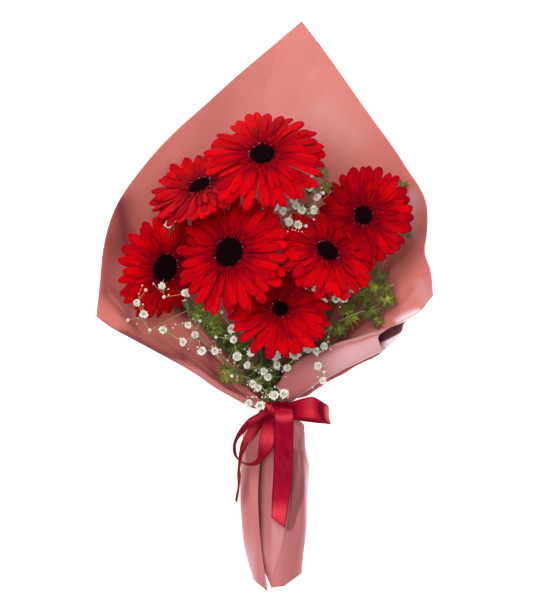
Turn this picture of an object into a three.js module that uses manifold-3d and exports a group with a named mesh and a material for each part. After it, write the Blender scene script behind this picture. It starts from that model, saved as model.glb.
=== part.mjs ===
// A hand-tied bouquet of seven red gerberas with gypsophila and asparagus fern, wrapped in one sheet of
// matt film and tied with a satin ribbon. It lies on its back: +Y runs from the cut stems to the tip of the
// wrap, +Z is up, and the flowers face up. Millimetres. The origin ends at the centre of the footprint.
import * as THREE from "three";
import { mergeVertices } from "three/addons/utils/BufferGeometryUtils.js";
import Module from "manifold-3d";

const wasm = await Module();
wasm.setup();

// ---- Driving dimensions ----
const TIE = new THREE.Vector3(4.5, -112, 23); // centre of the waist, where the ribbon goes round
const FILM = 0.8; // thickness of the wrap
const GAP = 0.3; // clearance between pieces that touch

const STEM_RADIUS = 3.2; // a gerbera's stem
const STEM_PITCH = 7.3; // centre to centre in the bundle
const THIN_STEM_RADIUS = 1.3; // where a fern or a gypsophila spray passes the tie
const THIN_RING = 12.6; // radius of the ring of thin stems round the gerbera stems
const STEM_END_Y = -236; // the cut ends, inside the skirt of the wrap

const BINDING_INNER = 14.3; // the florist's band under the paper
const BINDING_THICK = 1.8;
const BINDING_WIDTH = 9;
const WAIST_RADIUS = BINDING_INNER + BINDING_THICK + GAP + FILM; // outside of the paper at the tie
const RIBBON_THICK = 0.7;
const BAND_WIDTH = 13; // the ribbon, 25 wide, is gathered where it goes round

// ---- Materials ----
const paint = (color, roughness) => new THREE.MeshStandardMaterial({ color, roughness, metalness: 0 });
const FILM_PINK = paint(0xd0706c, 0.55);
const PETAL_RED = paint(0xc4050c, 0.6);
const DISC_BLACK = paint(0x1a080c, 0.9);
const STEM_GREEN = paint(0x6f8a3c, 0.6);
const FERN_GREEN = paint(0x5c8a22, 0.7);
const SPRAY_WHITE = paint(0xf2efe6, 0.7);
const RIBBON_RED = paint(0xb00524, 0.3);
const BAND_TAN = paint(0xb79a63, 0.8);

const bouquet = new THREE.Group();

// ---- Small helpers ----
const V = (x, y, z) => new THREE.Vector3(x, y, z);
const lerp = THREE.MathUtils.lerp;
const rad = THREE.MathUtils.degToRad;
const smooth = (x, a, b) => THREE.MathUtils.smoothstep(x, a, b);

// A repeatable draw from 0 to 1 for each whole number.
function draw(n) {
  const s = Math.sin(n * 127.1 + 11.7) * 43758.5453;
  return s - Math.floor(s);
}

function geometryFrom(points, faces) {
  const geometry = new THREE.BufferGeometry();
  const coordinates = points.flatMap((p) => [p.x, p.y, p.z]);
  geometry.setAttribute("position", new THREE.Float32BufferAttribute(coordinates, 3));
  geometry.setIndex(faces.flat());
  return geometry;
}

function solid(geometry) {
  const bare = new THREE.BufferGeometry().setAttribute("position", geometry.getAttribute("position"));
  if (geometry.index) bare.setIndex(geometry.index);
  const merged = mergeVertices(bare, 1e-3);
  return new wasm.Manifold(
    new wasm.Mesh({
      numProp: 3,
      vertProperties: Float32Array.from(merged.attributes.position.array),
      triVerts: Uint32Array.from(merged.index.array),
    }),
  );
}

const fuse = (solids) => solids.reduce((all, one) => all.add(one));

// The largest body of a fused solid: a scrap that a cut leaves loose is dropped.
const main = (made) => made.decompose().sort((a, b) => b.volume() - a.volume())[0];

const placed = []; // the solids so far, which what grows between them stays clear of

// A solid as a named mesh in its holder: the bouquet, or a group that stands and is turned in it.
function add(name, made, material, holder = bouquet) {
  placed.push(made.transform(holder.matrix.elements));
  const mesh = made.getMesh();
  const geometry = new THREE.BufferGeometry();
  const positions = Float32Array.from(mesh.vertProperties);
  geometry.setAttribute("position", new THREE.BufferAttribute(positions, 3));
  geometry.setIndex(new THREE.BufferAttribute(Uint32Array.from(mesh.triVerts), 1));
  const piece = new THREE.Mesh(geometry, material);
  piece.name = name;
  holder.add(piece);
}

function holderAt(position, turn = new THREE.Quaternion()) {
  const holder = new THREE.Group();
  holder.position.copy(position);
  holder.quaternion.copy(turn);
  holder.updateMatrix();
  bouquet.add(holder);
  return holder;
}

const isClear = (fatter) => placed.every((other) => other.intersect(fatter).isEmpty());

// A rod with flat sides through the points, which lie along a smooth curve.
function rod(points, radius, sides) {
  const rings = [];
  let side = V(1, 0, 0);
  points.forEach((p, i) => {
    const next = points[Math.min(i + 1, points.length - 1)];
    const ahead = next.clone().sub(points[Math.max(i - 1, 0)]).normalize();
    side = side.addScaledVector(ahead, -side.dot(ahead)).normalize();
    const up = ahead.clone().cross(side);
    for (let k = 0; k < sides; k++) {
      const a = (2 * Math.PI * k) / sides;
      const [across, above] = [radius * Math.cos(a), radius * Math.sin(a)];
      rings.push(p.clone().addScaledVector(side, across).addScaledVector(up, above));
    }
  });
  const faces = [];
  for (let i = 0; i + 1 < points.length; i++) {
    for (let k = 0; k < sides; k++) {
      const [a, b] = [i * sides + k, i * sides + ((k + 1) % sides)];
      faces.push([a, b, b + sides], [a, b + sides, a + sides]);
    }
  }
  const last = rings.length - sides;
  for (let k = 1; k + 1 < sides; k++) faces.push([0, k + 1, k], [last, last + k, last + k + 1]);
  return solid(geometryFrom(rings, faces));
}

// The smooth way through the knots. The first ones, through the tie, are in line and need no points between.
const STRAIGHT_KNOTS = 3;
function wayThrough(knots) {
  const curve = new THREE.CatmullRomCurve3(knots, false, "centripetal");
  const shares = [];
  for (let i = 0; i < knots.length - 1; i++) shares.push(i, ...(i < STRAIGHT_KNOTS ? [] : [i + 0.5]));
  return [...shares, knots.length - 1].map((share) => curve.getPoint(share / (knots.length - 1)));
}

// A sheet of even thickness over the surface pointAt(u, v): its second face lies on the side of the normal.
function sheet(pointAt, across, along, thickness) {
  const faceA = [];
  const faceB = [];
  const step = 1e-3;
  for (let j = 0; j <= along; j++) {
    for (let i = 0; i <= across; i++) {
      const [u, v] = [i / across, j / along];
      const [u0, u1] = [Math.max(0, u - step), Math.min(1, u + step)];
      const [v0, v1] = [Math.max(0, v - step), Math.min(1, v + step)];
      const du = pointAt(u1, v).sub(pointAt(u0, v));
      const dv = pointAt(u, v1).sub(pointAt(u, v0));
      const normal = du.cross(dv).normalize();
      const p = pointAt(u, v);
      faceA.push(p);
      faceB.push(p.clone().addScaledVector(normal, thickness));
    }
  }
  const points = [...faceA, ...faceB];
  const at = (i, j, side) => side * faceA.length + j * (across + 1) + i;
  const faces = [];
  const quad = (a, b, c, d) => faces.push([a, b, c], [a, c, d]);
  for (let j = 0; j < along; j++) {
    for (let i = 0; i < across; i++) {
      quad(at(i, j, 0), at(i, j + 1, 0), at(i + 1, j + 1, 0), at(i + 1, j, 0));
      quad(at(i, j, 1), at(i + 1, j, 1), at(i + 1, j + 1, 1), at(i, j + 1, 1));
    }
  }
  for (let i = 0; i < across; i++) {
    quad(at(i, 0, 0), at(i + 1, 0, 0), at(i + 1, 0, 1), at(i, 0, 1));
    quad(at(i + 1, along, 0), at(i, along, 0), at(i, along, 1), at(i + 1, along, 1));
  }
  for (let j = 0; j < along; j++) {
    quad(at(0, j + 1, 0), at(0, j, 0), at(0, j, 1), at(0, j + 1, 1));
    quad(at(across, j, 0), at(across, j + 1, 0), at(across, j + 1, 1), at(across, j, 1));
  }
  return solid(geometryFrom(points, faces));
}

// ---- Gerbera heads ----
// at: the middle of the disc. tilt: degrees from straight up, towards the direction lean. reach: centre to
// petal tip. droop: how far the petals hang back at their tips, in degrees. disc: the disc's radius.
const HEADS = [
  { name: "top", at: V(-10.5, 144, 112), tilt: 36, lean: [-0.2, 0.97], reach: 62, droop: 14, disc: 12.3 },
  { name: "upper_left", at: V(-71.5, 114, 80), tilt: 54, lean: [-0.45, 0.89], reach: 57, droop: 6, disc: 11.5 },
  { name: "right", at: V(91.5, 85, 100), tilt: 18, lean: [0.95, 0.1], reach: 53, droop: 12, disc: 8.6 },
  { name: "left", at: V(-107.5, 32, 71), tilt: 39, lean: [0.94, -0.34], reach: 54, droop: 12, disc: 13.5 },
  { name: "middle", at: V(-43.5, 48, 106), tilt: 28, lean: [-0.95, 0.3], reach: 61, droop: 7, disc: 13.5 },
  { name: "lower_right", at: V(55.5, 50, 91), tilt: 42, lean: [0.62, 0.78], reach: 53, droop: 17, disc: 11 },
  { name: "bottom", at: V(7.5, -8, 91), tilt: 25, lean: [0, 1], reach: 57, droop: 4, disc: 6.5 },
];

// The bundle at the tie: one stem in the middle and six round it, by angle from the right, in degrees.
const STEM_SLOTS = {
  top: null, right: 330, lower_right: 30, bottom: 90, middle: 150, left: 210, upper_left: 270,
};

const ROOT_STEP = 0.5; // how far outside the disc the petals leave the hub
const PETAL_THICK = 0.8;
const CALYX_DEPTH = 18;

// The rows of petals from the back to the front: count, share of the reach, widest half-width, rise at the root,
// share of the droop, and the height of the root above the back of the hub.
const ROWS = [
  { count: 13, share: 1, half: 9.2, rise: 6, hang: 1.5, level: 0 },
  { count: 11, share: 0.9, half: 8.6, rise: 20, hang: 0.6, level: 1.3 },
  { count: 8, share: 0.42, half: 4, rise: 48, hang: -1.5, level: 2.6, short: true },
];
// Each petal's outline, from root to tip: share of its length and of its half-width.
const PETAL_STATIONS = [[0, 0.3], [0.5, 0.92], [0.86, 0.8]];
const SHORT_STATIONS = [[0, 0.45], [0.6, 0.95]];

const PETAL_FALL = -6; // every petal hangs this much, in degrees, besides its head's droop
const LENGTH_SPREAD = 0.08; // the shortest petal of a row is this share shorter than its longest
const ANGLE_SPREAD = 0.25; // how unevenly petals are spaced, as a share of their spacing

// How far out of its root and how high a petal's midline is, at a share t of its length.
function petalMidline(t, length, rise, fall) {
  const steps = 12;
  let [out, up] = [0, 0];
  for (let i = 0; i < steps; i++) {
    const angle = rad(lerp(rise, fall, ((i + 0.5) / steps) * t));
    out += (Math.cos(angle) * length * t) / steps;
    up += (Math.sin(angle) * length * t) / steps;
  }
  return [out, up];
}

function petalRow(head, row, seed) {
  const stations = row.short ? SHORT_STATIONS : PETAL_STATIONS;
  const points = [];
  const faces = [];
  const root = head.disc + ROOT_STEP;
  const fall = PETAL_FALL - head.droop * row.hang;
  const bottomOf = (k) => k + 1;
  const put = (out, up, angle, side) => {
    const [c, s] = [Math.cos(angle), Math.sin(angle)];
    const [x, y] = [out * c - side * s, out * s + side * c];
    points.push(V(x, y, up + row.level + PETAL_THICK), V(x, y, up + row.level));
    return points.length - 2;
  };
  const hub = put(0, 0, 0, 0);
  const outline = [];
  for (let i = 0; i < row.count; i++) {
    const uneven = ANGLE_SPREAD * (draw(seed * 40 + i) - 0.5);
    const angle = (2 * Math.PI * (i + 0.5 * (seed % 2) + uneven)) / row.count;
    const reach = head.reach * row.share * (1 - LENGTH_SPREAD * draw(seed * 60 + i));
    const length = reach - root;
    const half = Math.min(row.half, (0.95 * Math.PI * reach) / row.count);
    const rootHalf = Math.min(half * stations[0][1], root * Math.sin((0.9 * Math.PI) / row.count));
    const left = [];
    const right = [];
    for (const [t, w] of stations) {
      const [out, up] = petalMidline(t, length, row.rise, fall);
      const side = t === 0 ? rootHalf : half * w;
      right.push(put(root + out, up, angle, -side));
      left.push(put(root + out, up, angle, side));
    }
    const [out, up] = petalMidline(1, length, row.rise, fall);
    const tip = put(root + out, up, angle, 0);
    for (let k = 0; k + 1 < left.length; k++) {
      faces.push([right[k], right[k + 1], left[k + 1]], [right[k], left[k + 1], left[k]]);
    }
    faces.push([right.at(-1), tip, left.at(-1)], [hub, right[0], left[0]]);
    outline.push(...right, tip, ...left.reverse());
  }
  const ring = stations.length * 2 + 1;
  for (let i = 0; i < row.count; i++) {
    faces.push([hub, outline[i * ring + ring - 1], outline[((i + 1) * ring) % outline.length]]);
  }
  const top = faces.slice();
  for (const [a, b, c] of top) faces.push([bottomOf(a), bottomOf(c), bottomOf(b)]);
  outline.forEach((a, i) => {
    const b = outline[(i + 1) % outline.length];
    faces.push([a, bottomOf(a), bottomOf(b)], [a, bottomOf(b), b]);
  });
  return solid(geometryFrom(points, faces));
}

const HUB_TOP = ROWS.at(-1).level + PETAL_THICK;

// The seat of the petals: a plug through the rows' hubs, so that they are one piece.
function hubPlug(radius) {
  const inset = 0.1;
  const height = HUB_TOP - 2 * inset;
  const plug = new THREE.CylinderGeometry(radius, radius, height, 6);
  plug.rotateX(Math.PI / 2).translate(0, 0, inset + height / 2);
  return solid(plug);
}

// The disc of florets: a low dome whose surface is raised in a spiral of knobs.
const KNOB = 0.9; // how high a knob stands
function discSolid(radius) {
  const [around, rings, height, wallHeight, foot] = [10, 3, 0.48 * radius, 1.2, 0.93 * radius];
  const profile = [new THREE.Vector2(0, 0), new THREE.Vector2(foot, 0)];
  for (let k = 0; k <= rings; k++) {
    const a = (k / rings) * (Math.PI / 2);
    profile.push(new THREE.Vector2(radius * Math.cos(a), wallHeight + (height - wallHeight) * Math.sin(a)));
  }
  profile.at(-1).x = 0;
  const dome = new THREE.LatheGeometry(profile, around);
  dome.rotateX(Math.PI / 2);
  const at = dome.getAttribute("position");
  const columns = profile.length;
  for (let i = 0; i < at.count; i++) {
    const [ring, column] = [i % columns, Math.floor(i / columns) % around];
    const isRaised = ring > 2 && ring < columns - 1 && (ring + column) % 2;
    if (isRaised) at.setZ(i, at.getZ(i) + KNOB);
  }
  return solid(dome).translate([0, 0, HUB_TOP + GAP]);
}

const upright = V(0, 0, 1);
function headFrame(head) {
  const lean = V(head.lean[0], head.lean[1], 0).normalize();
  const normal = upright.clone().multiplyScalar(Math.cos(rad(head.tilt)));
  normal.addScaledVector(lean, Math.sin(rad(head.tilt)));
  const turn = new THREE.Quaternion().setFromUnitVectors(upright, normal);
  return { normal, holder: holderAt(head.at, turn) };
}

// Where a stem passes the tie, from the ring it stands in and its angle from the right.
function slot(radius, degrees) {
  const a = rad(degrees);
  return V(TIE.x + radius * Math.cos(a), TIE.y, TIE.z + radius * Math.sin(a));
}

// The stem below the tie: the bundle sinks a little towards the back of the skirt at the cut ends.
function cutEnd(at) {
  const [spread, sink] = [0.92, 4.5];
  return V(lerp(TIE.x, at.x, spread), STEM_END_Y, lerp(TIE.z, at.z, spread) - sink);
}

// Straight up out of the tie for a short way, so that the bundle stays packed under the band.
const PAST_TIE = 12;
const pastTie = (at, far) => V(at.x, at.y + far, at.z);
const throughTie = (at) => [cutEnd(at), pastTie(at, -PAST_TIE), at, pastTie(at, PAST_TIE)];

// The green cup behind the petals, as radius and height from the stem to the rim.
const CALYX = [[0, -CALYX_DEPTH], [2.9, -CALYX_DEPTH], [5.4, -13.3], [9.4, -7.3], [10.6, -GAP], [0, -GAP]];
function calyx() {
  const cup = new THREE.LatheGeometry(CALYX.map(([x, y]) => new THREE.Vector2(x, y)), 7);
  cup.rotateX(Math.PI / 2);
  return solid(cup);
}

// The way a gerbera's stem goes from the tie to the back of its head, where it is not left to the plain rule.
const STEM_WAYPOINTS = {
  middle: [V(-26, 4, 50)],
  left: [V(-18, -82, 22), V(-66, -30, 34), V(-110, 20, 46)],
  upper_left: [V(-5, -60, 16), V(-48, 30, 30)],
  right: [V(34, -60, 22), V(86, 42, 30)],
};

function stemWay(head, normal) {
  const angle = STEM_SLOTS[head.name];
  const at = angle === null ? slot(0, 0) : slot(STEM_PITCH, angle);
  const [bedded, straight, sag] = [1.5, 16, 6]; // in the calyx, below it, and on the way
  const neck = head.at.clone().addScaledVector(normal, bedded - CALYX_DEPTH);
  const below = neck.clone().addScaledVector(normal, -straight);
  const way = STEM_WAYPOINTS[head.name] ?? [at.clone().lerp(below, 0.55).sub(V(0, 0, sag))];
  return wayThrough([...throughTie(at), ...way, below, neck]);
}

for (const [index, head] of HEADS.entries()) {
  const { normal, holder } = headFrame(head);
  const rows = ROWS.map((row, k) => petalRow(head, row, index * ROWS.length + k));
  add(`gerbera_${head.name}_petals`, fuse([...rows, hubPlug(0.65 * head.disc)]), PETAL_RED, holder);
  add(`gerbera_${head.name}_disc`, discSolid(head.disc), DISC_BLACK, holder);
  const stem = rod(stemWay(head, normal), STEM_RADIUS, 5);
  add(`gerbera_${head.name}_stem`, fuse([calyx().transform(holder.matrix.elements), stem]), STEM_GREEN);
}

// ---- The wrap ----
// The bouquet is drawn as it looks from straight above, in millimetres at the heads' level. A point that is
// lower is farther from the eye, so it is spread by a little to stand where it is seen.
const EYE_DISTANCE = 2200;
const HEAD_LEVEL = 90;
function seen(x, y, z) {
  const spread = 1 - (z - HEAD_LEVEL) / EYE_DISTANCE;
  return V(x * spread, y * spread, z);
}

// The upper edge of the film, from the corner at the left, round the tip, to the corner at the right.
const RIM = [
  [-175.5, -18, 84], [-173.5, 10, 80], [-165.5, 50, 73], [-152.5, 95, 62], [-123, 135, 47], [-54.5, 200, 22],
  [0, 250, 8], [29.5, 278, 2], [50, 250, 8], [86, 200, 22], [130, 135, 47], [150, 100, 62], [154, 62, 73],
  [160, 30, 84], [160.5, 3, 92],
].map(([x, y, z]) => seen(x, y, z));
const rimCurve = new THREE.CatmullRomCurve3(RIM, false, "chordal");
const WALL_START = 10; // how far above the tie the cone begins
const NECK_RADIUS = 21.5;
const WRAP_FROM = 107; // degrees from the right where the free edge stands at the neck
const WRAP_SWEEP = 345; // and the film goes round from there, by the left

// The skirt under the tie, as it is seen from above: left and right outlines, from the neck to the hem.
const SKIRT_LEFT = [[-27.5, -125], [-31.5, -152], [-32.4, -180], [-31, -212], [-28.8, -243], [-19.5, -280]];
const SKIRT_RIGHT = [[30.5, -125], [34, -152], [36.3, -175], [35, -212], [32.7, -243], [29.5, -273]];
const SKIRT_DEPTH = [21.5, 22, 22, 22, 22, 22.5]; // half the height of the skirt's section, neck to hem
const BACK_HEM_RISE = 26; // the hem is higher at the back,
const FRONT_HEM_DROP = 19; // and comes down to a point at the front
const HEM_THINNING = 0.12; // how much flatter the section is at the hem
const outlineCurve = (pairs) => new THREE.SplineCurve(pairs.map(([x, y]) => new THREE.Vector2(x, y)));
const along = (values, w) => outlineCurve(values.map((x, i) => [x, i])).getPoint(w).x;
const skirtLeft = outlineCurve(SKIRT_LEFT);
const skirtRight = outlineCurve(SKIRT_RIGHT);

const BACK_SAG = 1.9; // how soon the back comes down to the surface, against 1 for a straight line

const wrapAngle = (u) => rad(WRAP_FROM + WRAP_SWEEP * u);
const atNeck = (u, radius, y) =>
  V(TIE.x + radius * Math.cos(wrapAngle(u)), y, TIE.z + radius * Math.sin(wrapAngle(u)));

// How far the free lower-left edge bellies out of the straight line from the tie to the corner, at even steps.
const EDGE_BELLY = [10, 14.5, 14, 12.5, 9, 7, 6, 5, 4, 3, 0];
const BELLY_WAY = V(-0.44, -0.9, 0);
const BELLY_WIDTH = 0.16; // as a share of the way round

function wallPoint(u, w) {
  const foot = atNeck(u, NECK_RADIUS, TIE.y + WALL_START);
  const rim = rimCurve.getPoint(u);
  const p = foot.clone().lerp(rim, w);
  const edge = smooth(Math.abs(2 * u - 1), 0.7, 1); // the side edges run straight, the back sags
  const sag = lerp(BACK_SAG, 1, edge);
  p.z = foot.z * (1 - w) ** sag + rim.z * w ** sag;
  return p.addScaledVector(BELLY_WAY, along(EDGE_BELLY, w) * (1 - smooth(u, 0, BELLY_WIDTH)));
}

// Where the two front panels of the skirt end, as x from neck to hem: the inner panel fills the gap between.
const LEFT_PANEL_EDGE = [3, -10, -14, -14, -11, -5];
const RIGHT_PANEL_EDGE = [6, 16, 18, 17, 9, -2];

function skirtSection(w) {
  const [left, right] = [skirtLeft.getPoint(w), skirtRight.getPoint(w)];
  const [middle, half] = [(left.x + right.x) / 2, (right.x - left.x) / 2];
  const angleAt = (x) => Math.acos(THREE.MathUtils.clamp((x - middle) / half, -1, 1));
  const from = angleAt(along(LEFT_PANEL_EDGE, w));
  const to = 2 * Math.PI + angleAt(along(RIGHT_PANEL_EDGE, w));
  return { left, right, middle, half, depth: along(SKIRT_DEPTH, w), from, to };
}

function skirtPoint(u, w) {
  const { left, right, middle, half, depth, from, to } = skirtSection(w);
  const a = lerp(from, to, u);
  const side = (1 - Math.cos(a)) / 2; // 0 at the right, 1 at the left
  const inFront = Math.sin(a) > 0 ? 1 - Math.abs(Math.cos(a)) : 0;
  const hem = BACK_HEM_RISE * smooth(-Math.sin(a), 0.2, 0.9) - FRONT_HEM_DROP * inFront;
  const y = lerp(right.y, left.y, side) + hem * w ** 3;
  return seen(middle + half * Math.cos(a), y, depth + depth * Math.sin(a) * (1 - HEM_THINNING * w));
}

// The inner panel of the skirt: folded back at the right panel's edge and seen in the gap between the two.
const INNER_PANEL = { from: 0.86, to: 0.06, under: 6, drop: 5.5 }; // shares of the skirt, and millimetres
function innerPanelPoint(u, v) {
  const w = lerp(INNER_PANEL.from, INNER_PANEL.to, v);
  const { left, right } = skirtSection(w);
  const x = lerp(along(LEFT_PANEL_EDGE, w) - INNER_PANEL.under, along(RIGHT_PANEL_EDGE, w), u);
  const top = skirtPoint(1, w).z;
  const drop = FILM / 2 + INNER_PANEL.drop * smooth(1 - u, 0, 0.25) * (1 - 0.75 * v ** 6);
  return seen(x, (left.y + right.y) / 2, top - drop);
}

// The film from the hem (row 0) through the neck to the rim. Two rows keep it straight under the ribbon.
const ROWS_IN_SKIRT = 5;
const ROWS_IN_WALL = 8;
const WRAP_ROWS = ROWS_IN_SKIRT + 2 + ROWS_IN_WALL;
const UNDER_RIBBON = 7.5; // half the width that stays straight
const PRESS = 6; // how far the back would hang below the surface, and is pressed flat

function wrapPoint(u, v) {
  const row = v * WRAP_ROWS;
  if (row <= ROWS_IN_SKIRT) return skirtPoint(u, 1 - row / ROWS_IN_SKIRT);
  const below = atNeck(u, WAIST_RADIUS, TIE.y - UNDER_RIBBON);
  const above = atNeck(u, WAIST_RADIUS, TIE.y + UNDER_RIBBON);
  const up = row - ROWS_IN_SKIRT;
  if (up <= 1) return skirtPoint(u, 0).lerp(below, up);
  if (up <= 2) return below.lerp(above, up - 1);
  const w = (up - 2) / ROWS_IN_WALL;
  const p = wallPoint(u, w);
  if (w < 1 / ROWS_IN_WALL) return above.lerp(wallPoint(u, 1 / ROWS_IN_WALL), w * ROWS_IN_WALL);
  p.z = Math.max(p.z - PRESS, 0);
  return p;
}
const wall = sheet(wrapPoint, 22, WRAP_ROWS, FILM);

// The rolled collar at the front right, from the tie outwards: its middle line, half-width, half-thickness.
const COLLAR = [
  [10, -94, 46, 11, 4], [32.5, -74, 56, 15, 6], [62.5, -58.5, 66, 13.8, 7], [95.5, -45, 75, 11, 7.5],
  [125.5, -31, 84, 8.2, 7], [152, -8, 89, 5.5, 4],
];
const collarCurve = new THREE.CatmullRomCurve3(COLLAR.map(([x, y, z]) => seen(x, y, z)), false, "chordal");
const collarSize = new THREE.CatmullRomCurve3(COLLAR.map(([, , , a, b]) => V(a, b, 0)), false, "chordal");
const COLLAR_FROM = -35; // where the roll's section begins, in degrees from its lower front edge
const COLLAR_SWEEP = 340;
const ROLL_FLATNESS = 0.72; // 1 would be an oval, and less is nearer a box

// Where the roll ends, round it: degrees as above, and the share of its length. It is cut back on top, so that
// one sees into it, and runs on along the wall.
const ROLL_END = [
  [-50, 0.8], [-90, 0.87], [-130, 0.9], [-165, 0.97], [-185, 0.9], [-205, 0.8], [-230, 0.715],
  [-260, 0.68], [-300, 0.675], [-345, 0.688], [-380, 0.7],
];
function rollEnd(degrees) {
  const next = ROLL_END.findIndex(([angle]) => angle < degrees);
  if (next <= 0) return ROLL_END.at(next)[1];
  const [[a0, t0], [a1, t1]] = [ROLL_END[next - 1], ROLL_END[next]];
  return lerp(t0, t1, (degrees - a0) / (a1 - a0));
}

const flattened = (x) => Math.sign(x) * Math.abs(x) ** ROLL_FLATNESS;

function collarPoint(u, v) {
  const degrees = COLLAR_FROM - COLLAR_SWEEP * u;
  const t = v * rollEnd(degrees);
  const middle = collarCurve.getPoint(t);
  const ahead = collarCurve.getTangent(t).setZ(0).normalize();
  const front = V(ahead.y, -ahead.x, 0);
  const size = collarSize.getPoint(t);
  const rise = V(0, 0, size.y * flattened(Math.sin(rad(degrees))));
  return middle.addScaledVector(front, size.x * flattened(Math.cos(rad(degrees)))).add(rise);
}
const collar = sheet(collarPoint, 10, 8, FILM);

const innerPanel = sheet(innerPanelPoint, 4, 8, FILM);

add("wrap_film", main(fuse([wall, collar, innerPanel])), FILM_PINK);

// ---- The binding and the ribbon ----
function ring(inner, outer, width, sides) {
  const h = width / 2;
  const profile = [[inner, -h], [outer, -h * 0.8], [outer, h * 0.8], [inner, h], [inner, -h]];
  const band = new THREE.LatheGeometry(profile.map(([x, y]) => new THREE.Vector2(x, y)), sides);
  return solid(band);
}
const binding = ring(BINDING_INNER, BINDING_INNER + BINDING_THICK, BINDING_WIDTH, 20);
add("stem_binding", binding, BAND_TAN, holderAt(TIE));

// A strip of ribbon through the stations, each with the direction of its width and its half-width.
function strip(stations, steps) {
  const path = new THREE.CatmullRomCurve3(stations.map((s) => V(...s.at)), false, "centripetal");
  const width = new THREE.CatmullRomCurve3(
    stations.map((s) => V(...s.across).normalize().multiplyScalar(s.half)), false, "centripetal",
  );
  const pointAt = (u, v) => path.getPoint(v).addScaledVector(width.getPoint(v), 2 * u - 1);
  return sheet(pointAt, 1, steps, RIBBON_THICK);
}

const KNOT = { at: [-3, -112, 45.5], half: [8.5, 8, 6], turn: -25 };
function knotSolid() {
  const ball = solid(new THREE.SphereGeometry(1, 9, 6));
  return ball.scale(KNOT.half).rotate([0, 0, KNOT.turn]).translate(KNOT.at);
}

// The bow, from the knot: each loop leaves it on top and comes back underneath.
const RIGHT_LOOP = [
  { at: [0, -112, 47], across: [0, 1, 0.1], half: 6 },
  { at: [15, -112, 55], across: [0.05, 1, 0.15], half: 7.5 },
  { at: [27, -110.5, 62], across: [-0.05, 1, 0.2], half: 10 },
  { at: [40.5, -110, 66], across: [-0.1, 1, 0.25], half: 12 },
  { at: [54, -114, 59], across: [-0.2, 1, 0.1], half: 10.5 },
  { at: [58, -116.5, 51], across: [-0.1, 1, 0], half: 9.5 },
  { at: [55, -118, 44.5], across: [0, 1, 0], half: 9 },
  { at: [42, -117, 43.5], across: [-0.05, 1, -0.1], half: 8.5 },
  { at: [22, -115, 44.5], across: [0, 1, -0.1], half: 8 },
  { at: [1, -113, 44.5], across: [0, 1, 0], half: 5 },
];
const LEFT_LOOP = [
  { at: [-5, -113, 50], across: [0.55, 0.75, 0.1], half: 6 },
  { at: [-13, -118, 57], across: [0.45, 0.35, 0.8], half: 8.5 },
  { at: [-22, -123, 61], across: [0.28, 0.3, 0.9], half: 9.8 },
  { at: [-31, -133, 63], across: [0.22, 0.15, 0.95], half: 9.8 },
  { at: [-39, -149, 60], across: [0.08, 0, 1], half: 9.8 },
  { at: [-31.5, -165, 56.5], across: [0, 0.08, 1], half: 9.8 },
  { at: [-15.5, -164, 56], across: [-0.3, 0.25, 0.85], half: 9.8 },
  { at: [-6.5, -147, 55], across: [-0.8, 0.2, 0.6], half: 9.8 },
  { at: [-3, -125, 51], across: [-0.9, 0, 0.4], half: 7.5 },
  { at: [-1.5, -116, 47], across: [-0.9, 0, 0.2], half: 5 },
];
const MAIN_TAIL = [
  { at: [8, -106, 44], across: [1, 0, 0], half: 6.5 },
  { at: [11.5, -119, 53], across: [1, 0, 0], half: 9.9 },
  { at: [11.2, -150, 49], across: [1, 0, 0.1], half: 9.9 },
  { at: [8.5, -200, 48.5], across: [1, 0, 0.1], half: 9.2 },
  { at: [6, -222, 51], across: [1, -0.75, 0], half: 8.5 },
];
const SECOND_TAIL = [
  { at: [-6, -113, 44], across: [0.6, 0.7, 0.2], half: 5 },
  { at: [-21, -135, 50], across: [0.5, 0.4, 0.75], half: 9.5 },
  { at: [-33.5, -166, 48], across: [0.06, 0, 1], half: 9.8 },
  { at: [-36, -202, 36], across: [0.04, 0.4, 0.9], half: 9 },
];
const bandInner = WAIST_RADIUS + 2.5 * GAP;
const band = ring(bandInner, bandInner + RIBBON_THICK, BAND_WIDTH, 18).translate(TIE.toArray());
const bow = [strip(RIGHT_LOOP, 15), strip(LEFT_LOOP, 17), strip(MAIN_TAIL, 8), strip(SECOND_TAIL, 7)];
add("ribbon_bow", main(fuse([band, knotSolid(), ...bow])), RIBBON_RED);

// ---- Gypsophila ----
const STALK = 0.75; // radius of a floret's stalk

// A short straight stalk, thinner at its end.
function stalk(from, to, radius) {
  const length = from.distanceTo(to);
  const cone = new THREE.CylinderGeometry(radius * 0.8, radius, length, 3).translate(0, length / 2, 0);
  const turn = new THREE.Quaternion().setFromUnitVectors(V(0, 1, 0), to.clone().sub(from).normalize());
  return solid(cone.applyQuaternion(turn)).translate(from.toArray());
}

const BUD = 4; // a bud's size: what is larger is a floret

// A floret is a shallow cushion, a bud a small knob.
function floret(at, size) {
  const sides = size > BUD ? 5 : 4;
  const profile = [[0, -0.32], [0.5, 0.05], [0, 0.3]].map(([x, y]) => new THREE.Vector2(x * size, y * size));
  const cushion = new THREE.LatheGeometry(profile, sides).rotateX(Math.PI / 2);
  const turn = draw(at.x * 3 + at.y) * 60;
  return solid(cushion).rotate([14 * draw(at.x) - 7, 14 * draw(at.y) - 7, turn]).translate(at.toArray());
}

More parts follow.
